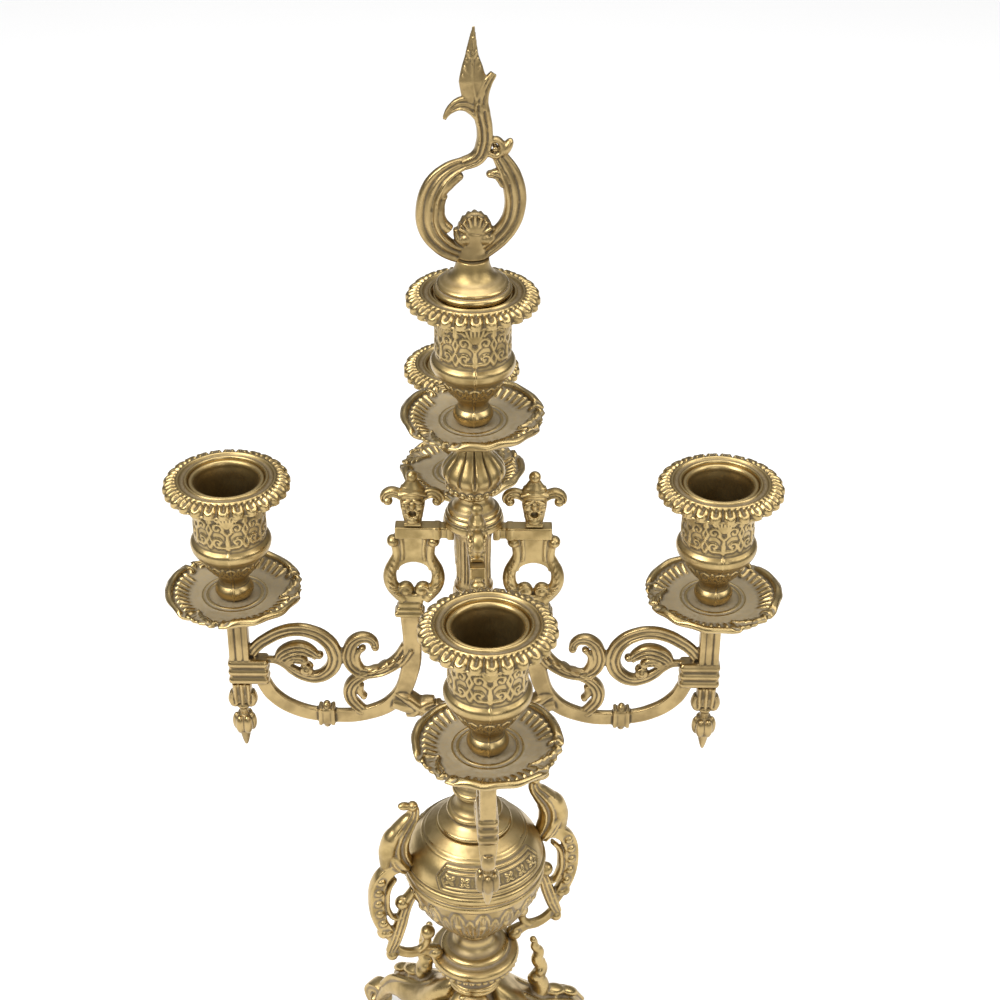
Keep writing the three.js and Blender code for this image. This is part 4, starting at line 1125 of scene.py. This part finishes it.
def makeDrop():
    middle, top, curls, bead, tip = drop["axis"], drop["top"], drop["curls"], drop["bead"], drop["tip"]
    parts = [softBlock((middle - 4.3, -3.1, curls + 0.5), (middle + 4.3, 3.1, top), 0.7, 0.78)]
    for x in (-3.0, 0, 3.0):
        parts.append(sweptBar([(middle + x, top, 1.5), (middle + x, curls + 4, 1.3),
                               (middle + 0.9 * x, curls, 1.1)], roundFace, 2.7))
    for side in (-1, 1):
        parts.append(sweptBar(
            [(middle + side * 4.4, curls + 6, 1.3), (middle + side * 5.1, curls + 2, 1.7),
             (middle + side * 4.2, curls - 0.8, 1.6)],
            roundFace, 1.8))
        parts.append(knob(middle + side * 3.6, curls - 0.4, (1.9, 2.9, 1.9)))
    parts.append(knob(middle, curls - 1.6, (3.2, 3.0, 1.9)))
    parts.append(sweptBar([(middle, curls, 2.2), (middle, bead + 4, 1.9), (middle, bead - 6, 2.4)],
                          roundFace, 1))
    parts.append(knob(middle, bead, (4.4, 4.4, 4.8)))
    for turn in range(6):  # lobes of the bead, drawn down into the tip
        angle = fullTurn * turn / 6
        x, y = 3.4 * math.cos(angle), 3.4 * math.sin(angle)
        parts.append(knob(middle + x, bead - 0.6, (2.25, 2.25, 4.9), y))
    parts.append(sweptBar([(middle, bead - 3.4, 3.2), (middle, bead - 7.6, 2.3), (middle, bead - 11, 1.6),
                           (middle, tip, 0.7)], roundFace, 1))
    return markHollows(castTogether("armDrop", parts, 0.34, 2))


lyre = {
    "axis": 26.2,
    "side": [
        (8.3, 329.6, 2.1), (7.5, 325.8, 2.0), (7.3, 322.6, 2.1), (8.6, 318.6, 2.5), (10.1, 314.8, 2.8),
        (10.6, 310.6, 3.0), (9.7, 306.4, 3.0), (7.2, 302.6, 3.0), (4.4, 299.6, 3.0),
    ],
    "barFoot": 332.5, "barTop": 338.2, "barEnd": 38.4, "barDeep": 3.3,
    "holeMiddle": 313.4, "holeHalves": (6.9, 5.7), "curlMiddle": (3.5, 304.2),
}


def lyrePanel():
    # recessed plate between the strings, its foot arched over the opening
    middle, across, tall = lyre["axis"], *lyre["holeHalves"]
    arch = []
    for step in range(9):
        angle = math.pi * (0.08 + 0.84 * step / 8)
        arch.append((middle + 1.04 * across * math.cos(angle),
                     lyre["holeMiddle"] + 1.04 * tall * math.sin(angle)))
    top = lyre["barFoot"] + 0.6
    outline = [(middle - 8.4, top, 0), (middle - 7, 323), (middle - 8.6, 318.2)] + arch[::-1]
    outline += [(middle + 8.6, 318.2), (middle + 7, 323), (middle + 8.4, top, 0)]
    return cutPlate(outline, 1.5, 0.3)


def makeBracket():
    middle = lyre["axis"]
    parts = [lyrePanel()]
    for side in (-1, 1):
        line = [(middle + side * x, z, half) for x, z, half in lyre["side"]]
        parts.append(sweptBar(line, roundFace, 0.95))
        for step in range(7):  # twist of the rope round the belly
            place = 2.8 + step * 0.68
            index = int(place)
            share = place - index
            (x0, z0, half), (x1, z1, spare) = lyre["side"][index], lyre["side"][index + 1]
            x, z = x0 + (x1 - x0) * share, z0 + (z1 - z0) * share
            lean = math.degrees(math.atan2(x1 - x0, z1 - z0)) + 90
            parts.append(knob(middle + side * x, z, (half * 1.24, half * 1.22, 1.25),
                              tilt=side * (lean + 28)))
        parts.append(knob(middle + side * 8.8, 329.8, (2.8, 3.3, 2.7)))
        parts.append(sweptBar([(middle + side * 5.2, 331.8, 0.9), (middle + side * 4.6, 326, 0.8),
                               (middle + side * 4.9, 320.6, 0.9)],
                              roundFace, 2.4))
        x, z = lyre["curlMiddle"]
        parts += bothFaces(lambda face: knob(middle + side * x, z, (2.2, 1.6, 2.2), face * 1.6))
        curl = spiral(x, z, 3.5, 1.9, 250, 0.9, 7)
        parts.append(sweptBar([(middle + side * a, b, 1.25) for a, b in curl], roundFace, 2.0))
    parts.append(softBlock((middle - 4, -2.4, 297.5), (middle + 5, 2.4, 302.6), 0.8))
    # three bands of the collar over the foot of the scroll
    parts.append(softBlock((21.7, -3.9, 291.0), (35.1, 3.9, 293.9), 1.2))
    parts.append(softBlock((22.5, -3.4, 293.3), (34.2, 3.4, 296.1), 1.1))
    parts.append(softBlock((23.4, -2.9, 295.4), (33.2, 2.9, 298.6), 0.8))
    deep, foot, top = lyre["barDeep"], lyre["barFoot"], lyre["barTop"]
    parts.append(softBlock((16.6, -deep, foot), (lyre["barEnd"] - 4.4, deep, top), 0.35))
    for step, swell in enumerate((0.35, -0.25, 0.35)):  # reeded collars next to the column
        parts.append(softBlock((8.4 + 2.9 * step, -deep - swell, foot - swell),
                               (11.4 + 2.9 * step, deep + swell, top + swell * 0.4), 0.6))
    return markHollows(castTogether("armBracket", parts, 0.34, 2))


mask = {"axis": 26.2, "foot": 338.6, "mouth": 345.6, "brow": 351.8, "arms": 354.8, "top": 365.0}


def makeMask():
    # a small grotesque with a round open mouth and a peaked cap, cast the same on both faces
    middle, foot, mouth, brow, arms = (mask[key] for key in ("axis", "foot", "mouth", "brow", "arms"))
    parts = [
        softBlock((middle - 3.9, -2.9, foot), (middle + 3.9, 2.9, foot + 1.8), 0.6),
        sweptBar([(middle, foot + 0.4, 3.3), (middle, foot + 4, 4.4), (middle, mouth + 3, 5.4),
                  (middle, arms, 5.7), (middle, arms + 3, 5.0)],
                 roundFace, 0.6),
        # cap with a rolled brim and a ball on its tip
        sweptBar([(middle - 6.0, arms - 0.4, 1.0), (middle, arms + 0.9, 1.3),
                  (middle + 6.0, arms - 0.4, 1.0)], roundFace, 3.0),
        sweptBar([(middle, arms, 5.6), (middle, arms + 2.6, 4.7), (middle, arms + 4.8, 3.3),
                  (middle, arms + 6.8, 2.0)], roundFace, 0.68),
        knob(middle, mask["top"] - 2.4, (2.7, 2.7, 2.6)),
    ]

    def features(face):
        ring = [(middle + 2.3 * math.cos(fullTurn * step / 8),
                 mouth + 2.4 * math.sin(fullTurn * step / 8)) for step in range(8)]
        lips = [knob(x, z, (1.2, 1.1, 1.2), face * 2.8) for x, z in ring]
        nose = knob(middle, mouth + 4.2, (1.4, 1.4, 2.0), face * 3.3)
        cheeks = [knob(middle + side * 3.3, mouth + 3.2, (1.8, 1.3, 1.7), face * 2.7) for side in (-1, 1)]
        brows = [knob(middle + side * 2.5, brow, (2.5, 1.1, 0.9), face * 3.4, side * 18)
                 for side in (-1, 1)]
        eyes = [knob(middle + side * 2.4, brow - 1.7, (1.0, 0.7, 0.7), face * 3.2) for side in (-1, 1)]
        chin = knob(middle, foot + 3.0, (2.6, 1.5, 1.8), face * 2.4)
        return lips + cheeks + brows + eyes + [nose, chin]

    parts += features(1) + features(-1)
    for side in (-1, 1):
        parts.append(sweptBar(
            [(middle + side * 3.5, arms - 2.8, 2.1), (middle + side * 6.6, arms - 0.7, 2.2),
             (middle + side * 9.6, arms - 0.4, 2.3),
             (middle + side * 11.8, arms - 2.4, 2.2), (middle + side * 11.6, arms - 4.8, 1.7)], rolledFace,
             1.05))
        parts.append(knob(middle + side * 10.6, arms - 4.6, (2.2, 2.5, 2.0)))
    obj = castTogether("armMask", parts, 0.27, 2)
    spots = spotsOf(obj)  # the mouth is sunk in from both faces
    inMouth = np.hypot(spots[:, 0] - middle, spots[:, 2] - mouth)
    spots[:, 1] *= 1 - 0.55 * (1 - ramp(inMouth, 0.9, 1.9))
    storeSpots(obj, spots)
    return markHollows(obj)


def makeArms():
    for make, ending, nodeEnding in ((makeScroll, "Scroll", "arm_scroll"), (makeDrop, "Drop", "arm_drop"),
                                     (makeBracket, "Bracket", "arm_bracket"),
                                     (makeMask, "Mask", "arm_mask")):
        finish = scrollBrass if ending in ("Scroll", "Drop") else agedBrass
        placeCopies(make(), ending, finish, nodeEnding, armTurn)
        print("arm", ending.lower(), "placed")


makeArms()


# Finial: an open loop of leaves with a hooked leaf standing on it

finial = {
    "leftLoop": [
        (4.4, 512, 2.4), (2.0, 508, 2.7), (-3.5, 505.3, 2.6), (-9.6, 502.2, 3.4), (-15.0, 496, 4.4),
        (-17.6, 487, 4.7), (-17.0, 478.6, 4.7), (-13.0, 472, 4.3), (-7.5, 468, 4.0), (-1, 466.4, 3.8),
    ],
    "stem": [(-3.5, 505.0, 2.5), (2.0, 507.8, 3.0), (4.4, 513, 3.2), (4.7, 519.5, 3.1), (3.6, 526, 3.3),
             (3.4, 531, 2.8), (5.2, 537, 2.2), (8.2, 541.6, 1.4)],
    "hook": [(3.2, 525.8, 3.4), (0.2, 528.8, 3.4), (-4.0, 529.8, 2.7), (-7.8, 528.0, 1.8),
             (-10.2, 525, 1.0), (-10.8, 523.4, 0.7)],
    "tipLeaf": [(1.6, 529, 3.2), (0.8, 533.5, 5.0), (0.2, 539, 5.4), (0.0, 544, 4.2), (-0.1, 549, 2.6),
                (0.2, 555, 1.5), (0.6, 560.2, 0.5)],
    "rightLoop": [
        (1.5, 466.6, 3.8), (6, 470, 4.0), (10.6, 474.2, 4.2), (14.6, 479.6, 4.1), (16.6, 486, 4.2),
        (16.6, 493, 4.4), (14.6, 500.4, 4.2), (11.6, 506.2, 3.3), (8.6, 510.4, 2.2),
    ],
    "leftEnd": [(-13.4, 492, 2.2), (-9.6, 496.6, 2.4), (-5.6, 499.8, 1.9)],
    "leftLeaf": [(-9.2, 477.4, 2.2), (-12.4, 481.2, 2.4), (-13.2, 486.4, 2.4), (-11.6, 491.2, 1.5)],
    "rightEnd": [(13, 496.4, 2.4), (10.6, 500.2, 2.6), (7.4, 500.8, 1.6)],
    "shell": (0.9, 474.4), "shellReach": 9.8, "flutes": 7,
}


def makeFinial():
    parts = [sweptBar(finial[key], face, deep) for key, face, deep in (
        ("leftLoop", rolledFace, 0.80), ("stem", rolledFace, 1.05), ("hook", rolledFace, 0.95),
        ("tipLeaf", roundFace, 0.46),
        ("rightLoop", rolledFace, 0.80), ("leftEnd", roundFace, 1.15), ("leftLeaf", roundFace, 1.15),
        ("rightEnd", reededFace, 1.2),
    )]
    parts += [knob(-5.4, 499.9, (2.0, 2.5, 1.7)), knob(-11.4, 491.6, (1.7, 2.3, 1.6)),
              knob(7.0, 500.6, (1.8, 2.4, 1.5))]
    parts.append(knob(13.4, 511.6, (2.0, 2.6, 4.1), tilt=28))  # bud on the shoulder of the loop
    parts.append(sweptBar([(6.8, 514.6, 1.1), (10, 514.6, 1.3), (11.4, 511.4, 1.4), (9.4, 508.6, 1.5),
                           (6.2, 509.6, 1.5)], roundFace, 1.7))
    parts += bothFaces(lambda face: knob(8.8, 511.6, (1.1, 0.9, 1.1), face * 1.9))
    for level, reach in ((533.4, 3.6), (536.4, 4.0), (539.4, 3.8), (542.4, 3.1), (545.4, 2.3),
                         (548.4, 1.6)):
        for side in (-1, 1):  # veins of the leaf, rising from its midrib
            if side > 0 and level < 540:
                continue
            parts.append(sweptBar([(0.2, level - 2.0, 0.55), (side * reach * 0.55, level + 0.2, 0.6),
                                   (side * reach, level + 2.4, 0.5)],
                                  roundFace, 3.4 if level < 545 else 2.6))
    parts.append(sweptBar([(2.0, 530, 0.8), (0.5, 537, 0.8), (0, 546, 0.7), (0.4, 556, 0.4)], roundFace,
                          3.4))
    # shell where the two sides of the loop meet, over a rounded drop
    x, z = finial["shell"]
    parts.append(knob(x, z + 2.8, (7.0, 4.0, 7.6)))
    for step in range(finial["flutes"]):
        angle = math.radians(28 + 124 * step / (finial["flutes"] - 1))
        reach = finial["shellReach"]
        end = (x + 0.74 * reach * math.cos(angle), z + reach * math.sin(angle))
        mid = (x + 0.42 * reach * math.cos(angle), z + 0.6 * reach * math.sin(angle))
        parts.append(sweptBar([(x, z + 1.5, 0.9), (*mid, 1.25), (*end, 1.3)], roundFace, 3.0))
    for side in (-1, 1):
        parts += bothFaces(lambda face: knob(x + side * 3.4, z - 0.4, (2.7, 1.9, 2.4), face * 2.3,
                                             side * 25))
        parts.append(sweptBar([(x + side * 7.8, z + 3.4, 1.0), (x + side * 6.6, z - 0.4, 1.7),
                               (x + side * 3.0, z - 3.6, 1.8)], roundFace, 1.9))
    parts += bothFaces(lambda face: knob(x, z - 3.6, (2.0, 1.7, 3.6), face * 2.4))
    parts.append(sweptBar([(x, z + 2, 5.4), (x - 0.4, z - 3.2, 5.2), (0, 468, 5.6), (0, 465.5, 6.2)],
                          roundFace, 0.82))
    obj = castTogether("finialCasting", parts, 0.34, 2)
    return markHollows(obj)


obj = makeFinial()
placePiece(obj, "finialOrnament", "finial", scrollBrass, ["finial_ornament"])
print("finial placed")


# Handles of the vase and legs of the base, drawn along +X and turned into place

handle = {
    "cee": [
        (33.6, 151.6, 2.4), (38.6, 153.6, 3.0), (44.4, 151.2, 3.4), (48.3, 145, 3.6), (49.6, 136, 3.6),
        (49.0, 126, 3.4), (46.6, 117.6, 3.1), (43.4, 111.6, 2.8), (40.6, 106.6, 2.6),
    ],
    "lip": [(40.0, 146.4, 1.2), (43.0, 142, 1.4), (44.4, 134, 1.5), (43.6, 126.4, 1.4), (40.4, 121.4, 1.3),
            (37.4, 121.6, 1.2)],
    "strut": [(43.6, 99.6, 2.2), (41.0, 106, 3.0), (38.0, 116, 3.2), (35.2, 126, 2.8), (31.4, 134.6, 2.6)],
    "facePearls": [(47.4, 147.6), (48.7, 141.4), (49.0, 134.6), (48.4, 127.8), (46.8, 121.4)],
    "endPearls": [(46.6, 113.6, 3.2), (42.6, 97.6, 3.0)],
    "innerPearl": (36.8, 129.8, 3.6),
    "tail": [(42.6, 103.6, 1.9), (38.2, 98.4, 2.2), (32.4, 95.6, 2.4), (26.8, 95.6, 2.4),
             (20.6, 93.4, 3.0)],
    "ballStem": [(28.8, 96.0, 2.0), (25.4, 99.4, 2.0), (24.2, 104.6, 2.2)],
    "ball": (24.2, 106.6, 3.7),
    "body": [(33.2, 151, 4.0), (36.8, 157, 5.2), (38.8, 164.6, 5.8), (37.4, 172.4, 5.6), (33.6, 178.6, 4.4),
             (30.6, 183, 3.2), (29.6, 187.4, 2.3)],
    "wing": [(36.6, 177.6, 2.8), (41.0, 171.8, 4.2), (43.4, 164.2, 4.2), (44.6, 156.6, 2.6),
             (44.9, 151.2, 0.9)],
}


def makeHandle():
    parts = [sweptBar(handle[key], face, deep) for key, face, deep in (
        ("cee", hollowFace, 1.05), ("lip", roundFace, 1.9), ("strut", reededFace, 1.0),
        ("tail", hollowFace, 0.95),
        ("ballStem", roundFace, 1.0), ("body", reededFace, 0.95), ("wing", roundFace, 1.1),
    )]
    for x, z in handle["facePearls"]:
        parts += bothFaces(lambda face: knob(x, z, (2.1, 1.7, 2.1), face * 2.6))
    for x, z, size in handle["endPearls"]:
        parts.append(knob(x, z, (size, size * 1.1, size)))
    x, z, size = handle["innerPearl"]
    parts.append(knob(x, z, size))
    parts.append(sweptBar([(x, z, 2.2), (33.6, 133, 2.2), (30.8, 136.6, 2.2)], roundFace, 1.2))
    x, z, size = handle["ball"]
    parts.append(knob(x, z, size))
    parts += [knob(30.4, 188.4, (2.6, 2.8, 2.4)), knob(34.4, 189.4, (3.4, 2.2, 2.0), tilt=-12)]
    # long leaf folded over the wing, and the feathers under it
    for step in range(4):
        share = step / 3
        parts += bothFaces(lambda face: knob(39.4 - 3.4 * share, 160 - 5.4 * share, (4.4 - share, 1.4, 1.5),
                                             face * 3.1, -52 + 14 * share))
    parts += bothFaces(lambda face: knob(41.8, 167.4, (2.4, 1.8, 8.2), face * 2.5, -16))
    parts += bothFaces(lambda face: knob(44.4, 113.6, (1.9, 1.2, 1.9), face * 2.6))
    parts += bothFaces(lambda face: knob(20.4, 92.6, (3.4, 2.4, 3.0), face * 1.6))
    return markHollows(castTogether("vaseHandle", parts, 0.42, 3))


leg = {
    # sides of the spreading shoulder: out along the leg, half width across it, level of the ridge
    "shoulder": [(6, 9.5, 67.5), (11, 12.5, 66.0), (17, 15.0, 61.5), (23, 16.0, 55.0), (30, 15.0, 48.5),
                 (38, 12.6, 44.6), (46, 10.2, 42.0),
                 (54, 8.6, 37.0), (60, 7.8, 29.5), (64, 7.4, 20.0), (67, 7.2, 10.0)],
    "under": [52, 50, 45, 38, 31, 27, 26.5, 23.5, 15.5, 8.0, 2.5],
    "scrollMiddle": (68.0, 10.4), "scrollReach": 10.0,
    "leaf": [(33.6, 44, 6.0), (35.6, 51, 5.8), (33.8, 58, 5.2), (35.6, 64, 4.4), (33.2, 70, 4.4),
             (34.2, 75.6, 3.4), (31.4, 79.6, 2.8),
             (32.0, 83, 1.8), (30.6, 85.2, 1.2)],
}


def makeLegShell():
    # a hollow-backed shoulder lofted along the leg from its half widths and levels
    rows = []
    for (out, half, ridge), under in zip(leg["shoulder"], leg["under"]):
        row = []
        for step in range(13):
            angle = math.pi * step / 12
            crown = 0.30 + 0.70 * (1 - (1 - math.sin(angle)) ** 1.6)
            row.append((out, half * math.cos(angle), under + (ridge - under) * crown))
        row += [(out, -half * 0.5, under), (out, half * 0.5, under)]
        rows.append(row)
    points = [point for row in rows for point in row]
    count = len(rows[0])
    faces = [list(range(count))[::-1], [len(points) - count + step for step in range(count)]]
    for index in range(len(rows) - 1):
        for step in range(count):
            after = (step + 1) % count
            faces.append([index * count + step, index * count + after, (index + 1) * count + after,
                          (index + 1) * count + step])
    mesh = bpy.data.meshes.new("legShell")
    mesh.from_pydata(points, [], faces)
    obj = bpy.data.objects.new("legShell", mesh)
    bpy.context.collection.objects.link(obj)
    smooth = obj.modifiers.new("rounding", "SUBSURF")
    smooth.levels = smooth.render_levels = 2
    applyModifiers(obj)
    bpy.ops.object.mode_set(mode="EDIT")
    bpy.ops.mesh.select_all(action="SELECT")
    bpy.ops.mesh.normals_make_consistent(inside=False)
    bpy.ops.object.mode_set(mode="OBJECT")
    return obj


def makeLeg():
    parts = [makeLegShell()]
    x, z = leg["scrollMiddle"]
    reach = leg["scrollReach"]
    coil = spiral(x, z, reach - 2.6, 2.2, 150, -1.55, 14)
    parts.append(sweptBar([(a, b, 2.7 - 0.09 * step) for step, (a, b) in enumerate(coil)], hollowFace, 2.3))
    parts.append(knob(x, z, (3.2, 7.2, 3.2)))
    parts.append(softBlock((x - 6.2, -6.2, 0.0), (x + 3.6, 6.2, 3.0), 1.0))
    # the upright leaf, twisted round its stem, ending in a small knob
    parts.append(sweptBar([(a, b, half * 0.72) for a, b, half in leg["leaf"]], roundFace, 1.0))
    for step in range(9):
        level = 47 + step * 4.1
        size = 6.2 - 0.42 * step
        turn = math.radians(70 * step)
        x, y = 33.6 + 0.42 * size * math.cos(turn), 0.42 * size * math.sin(turn)
        parts.append(knob(x, level, (size * 0.56, size * 0.62, size * 0.72), y, 24 * math.cos(turn)))
    parts.append(knob(30.8, 84.4, (1.9, 2.0, 1.8)))
    parts.append(knob(42.8, 45.6, (6.4, 4.0, 2.8), tilt=18))
    parts.append(knob(51.2, 41.8, (5.6, 3.4, 2.3), tilt=30))
    for side in (-1, 1):
        parts.append(sweptBar([(24, 53.4, 1.4), (33, 45.4, 1.8), (43, 42, 1.8), (53, 37.4, 1.7),
                               (61, 27, 1.5)], roundFace, 1.0))
        parts[-1].data.transform(Matrix.Translation((0, side * 5.4, 0)))
    return markHollows(castTogether("baseLeg", parts, 0.6, 4))


def makeVaseTrim():
    source = makeHandle()
    for side, turn in (("right", 0), ("left", math.pi)):
        placePiece(ownCopy(source), side + "Handle", "stand", vaseBrass,
                   ["vase_handle_" + side],
                   Matrix.Rotation(vaseTurn + turn, 4, "Z"))
    bpy.data.objects.remove(source)
    source = makeLeg()
    for index in range(3):
        placePiece(ownCopy(source), f"leg{index + 1}", "stand", vaseBrass,
                   [f"base_leg_{index + 1}"],
                   Matrix.Rotation(vaseTurn + index * fullTurn / 3, 4, "Z"))
    bpy.data.objects.remove(source)


makeVaseTrim()
print("handles and legs placed")


# What stays as it was cut: the rod, nut, washer, studs and the plug under the finial


def finishCutPieces(nodeNames, finish):
    for nodeName in nodeNames:
        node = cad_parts[nodeName]
        node.data.materials.clear()
        node.data.materials.append(finish)


finishCutPieces(["tie_rod", "base_washer", "base_nut"] + [f"{side}_arm_stud" for side in sides], rodSteel)
finishCutPieces(["finial_plug"], agedBrass)


# Floor, lights and camera

studio = {
    "floorSize": 8.0,
    "floorColour": (0.93, 0.93, 0.93),
    # name, direction it stands in (turn, height above the floor in degrees), distance, width, height, watts
    "lamps": [
        ("keyBox", -150, 48, 1.7, 1.0, 1.0, 25),
        ("frontBox", -75, 30, 1.9, 0.7, 1.3, 5.5),
        ("fillBox", -15, 40, 1.8, 1.0, 1.2, 12),
        ("topBox", 80, 75, 1.8, 1.6, 1.2, 9),
    ],
    "zenith": (1.0, 1.0, 1.0), "horizon": (0.20, 0.195, 0.185), "skyStrength": 0.55,
    "daylight": 1.0, "daylightSpread": 50,  # weak and wide, from straight above
}


def makeFloor():
    deselectAll()
    bpy.ops.mesh.primitive_plane_add(size=studio["floorSize"], location=(0, 0, cadLow.z - 0.0002))
    floor = bpy.context.object
    floor.name = "floor"
    material = bpy.data.materials.new("palePaper")
    material.use_nodes = True
    tree = material.node_tree
    shader = tree.nodes["Principled BSDF"]
    place = addNode(tree, "ShaderNodeTexCoord").outputs["Object"]
    ramped = addNode(tree, "ShaderNodeValToRGB")
    tree.links.new(noise(tree, place, 3, 2), ramped.inputs["Fac"])
    ramped.color_ramp.elements[0].color = (*[c * 0.985 for c in studio["floorColour"]], 1)
    ramped.color_ramp.elements[1].color = (*studio["floorColour"], 1)
    tree.links.new(ramped.outputs["Color"], shader.inputs["Base Color"])
    shader.inputs["Roughness"].default_value = 0.9
    floor.data.materials.append(material)


def makeLamps():
    middle = (cadLow + cadHigh) / 2
    for name, turn, height, away, width, tall, watts in studio["lamps"]:
        lamp = bpy.data.lights.new(name, "AREA")
        lamp.shape = "RECTANGLE"
        lamp.size, lamp.size_y, lamp.energy = width, tall, watts
        obj = bpy.data.objects.new(name, lamp)
        bpy.context.collection.objects.link(obj)
        turn, height = math.radians(turn), math.radians(height)
        out = Vector((math.cos(turn) * math.cos(height), math.sin(turn) * math.cos(height),
                      math.sin(height)))
        obj.location = middle + out * away
        obj.rotation_euler = (-out).to_track_quat("-Z", "Y").to_euler()
    lamp = bpy.data.lights.new("daylight", "SUN")
    lamp.energy, lamp.angle = studio["daylight"], math.radians(studio["daylightSpread"])
    obj = bpy.data.objects.new("daylight", lamp)
    bpy.context.collection.objects.link(obj)


def makeSky():
    world = bpy.data.worlds.new("softRoom")
    bpy.context.scene.world = world
    world.use_nodes = True
    tree = world.node_tree
    place = addNode(tree, "ShaderNodeTexCoord").outputs["Generated"]
    parts = addNode(tree, "ShaderNodeSeparateXYZ")
    tree.links.new(place, parts.inputs[0])
    ramped = addNode(tree, "ShaderNodeValToRGB")
    tree.links.new(mapped(tree, parts.outputs["Z"], -0.1, 0.9), ramped.inputs["Fac"])
    ramped.color_ramp.elements[0].color = (*studio["horizon"], 1)
    ramped.color_ramp.elements[1].color = (*studio["zenith"], 1)
    background = tree.nodes["Background"]
    tree.links.new(ramped.outputs["Color"], background.inputs["Color"])
    background.inputs["Strength"].default_value = studio["skyStrength"]


camera = {
    "aim": (0.01135, -0.00076, 0.3509),
    "away": 0.875, "lens": 73.48,
    "turn": 3.8, "down": 32.06, "roll": 0.29,  # degrees
}


def makeCamera():
    data = bpy.data.cameras.new("camera")
    data.lens = camera["lens"]
    data.sensor_width = 36
    obj = bpy.data.objects.new("camera", data)
    bpy.context.collection.objects.link(obj)
    turned = Matrix.Rotation(math.radians(-camera["turn"]), 4, "Z")
    tipped = Matrix.Rotation(math.radians(90 - camera["down"]), 4, "X")
    rolled = Matrix.Rotation(math.radians(camera["roll"]), 4, "Z")
    aimed = turned @ tipped @ rolled
    back = aimed.to_3x3() @ Vector((0, 0, camera["away"]))
    obj.matrix_world = Matrix.Translation(Vector(camera["aim"]) + back) @ aimed
    bpy.context.scene.camera = obj


makeFloor()
makeLamps()
makeSky()
makeCamera()
bpy.context.scene.view_settings.view_transform = "Standard"
print("stage set")
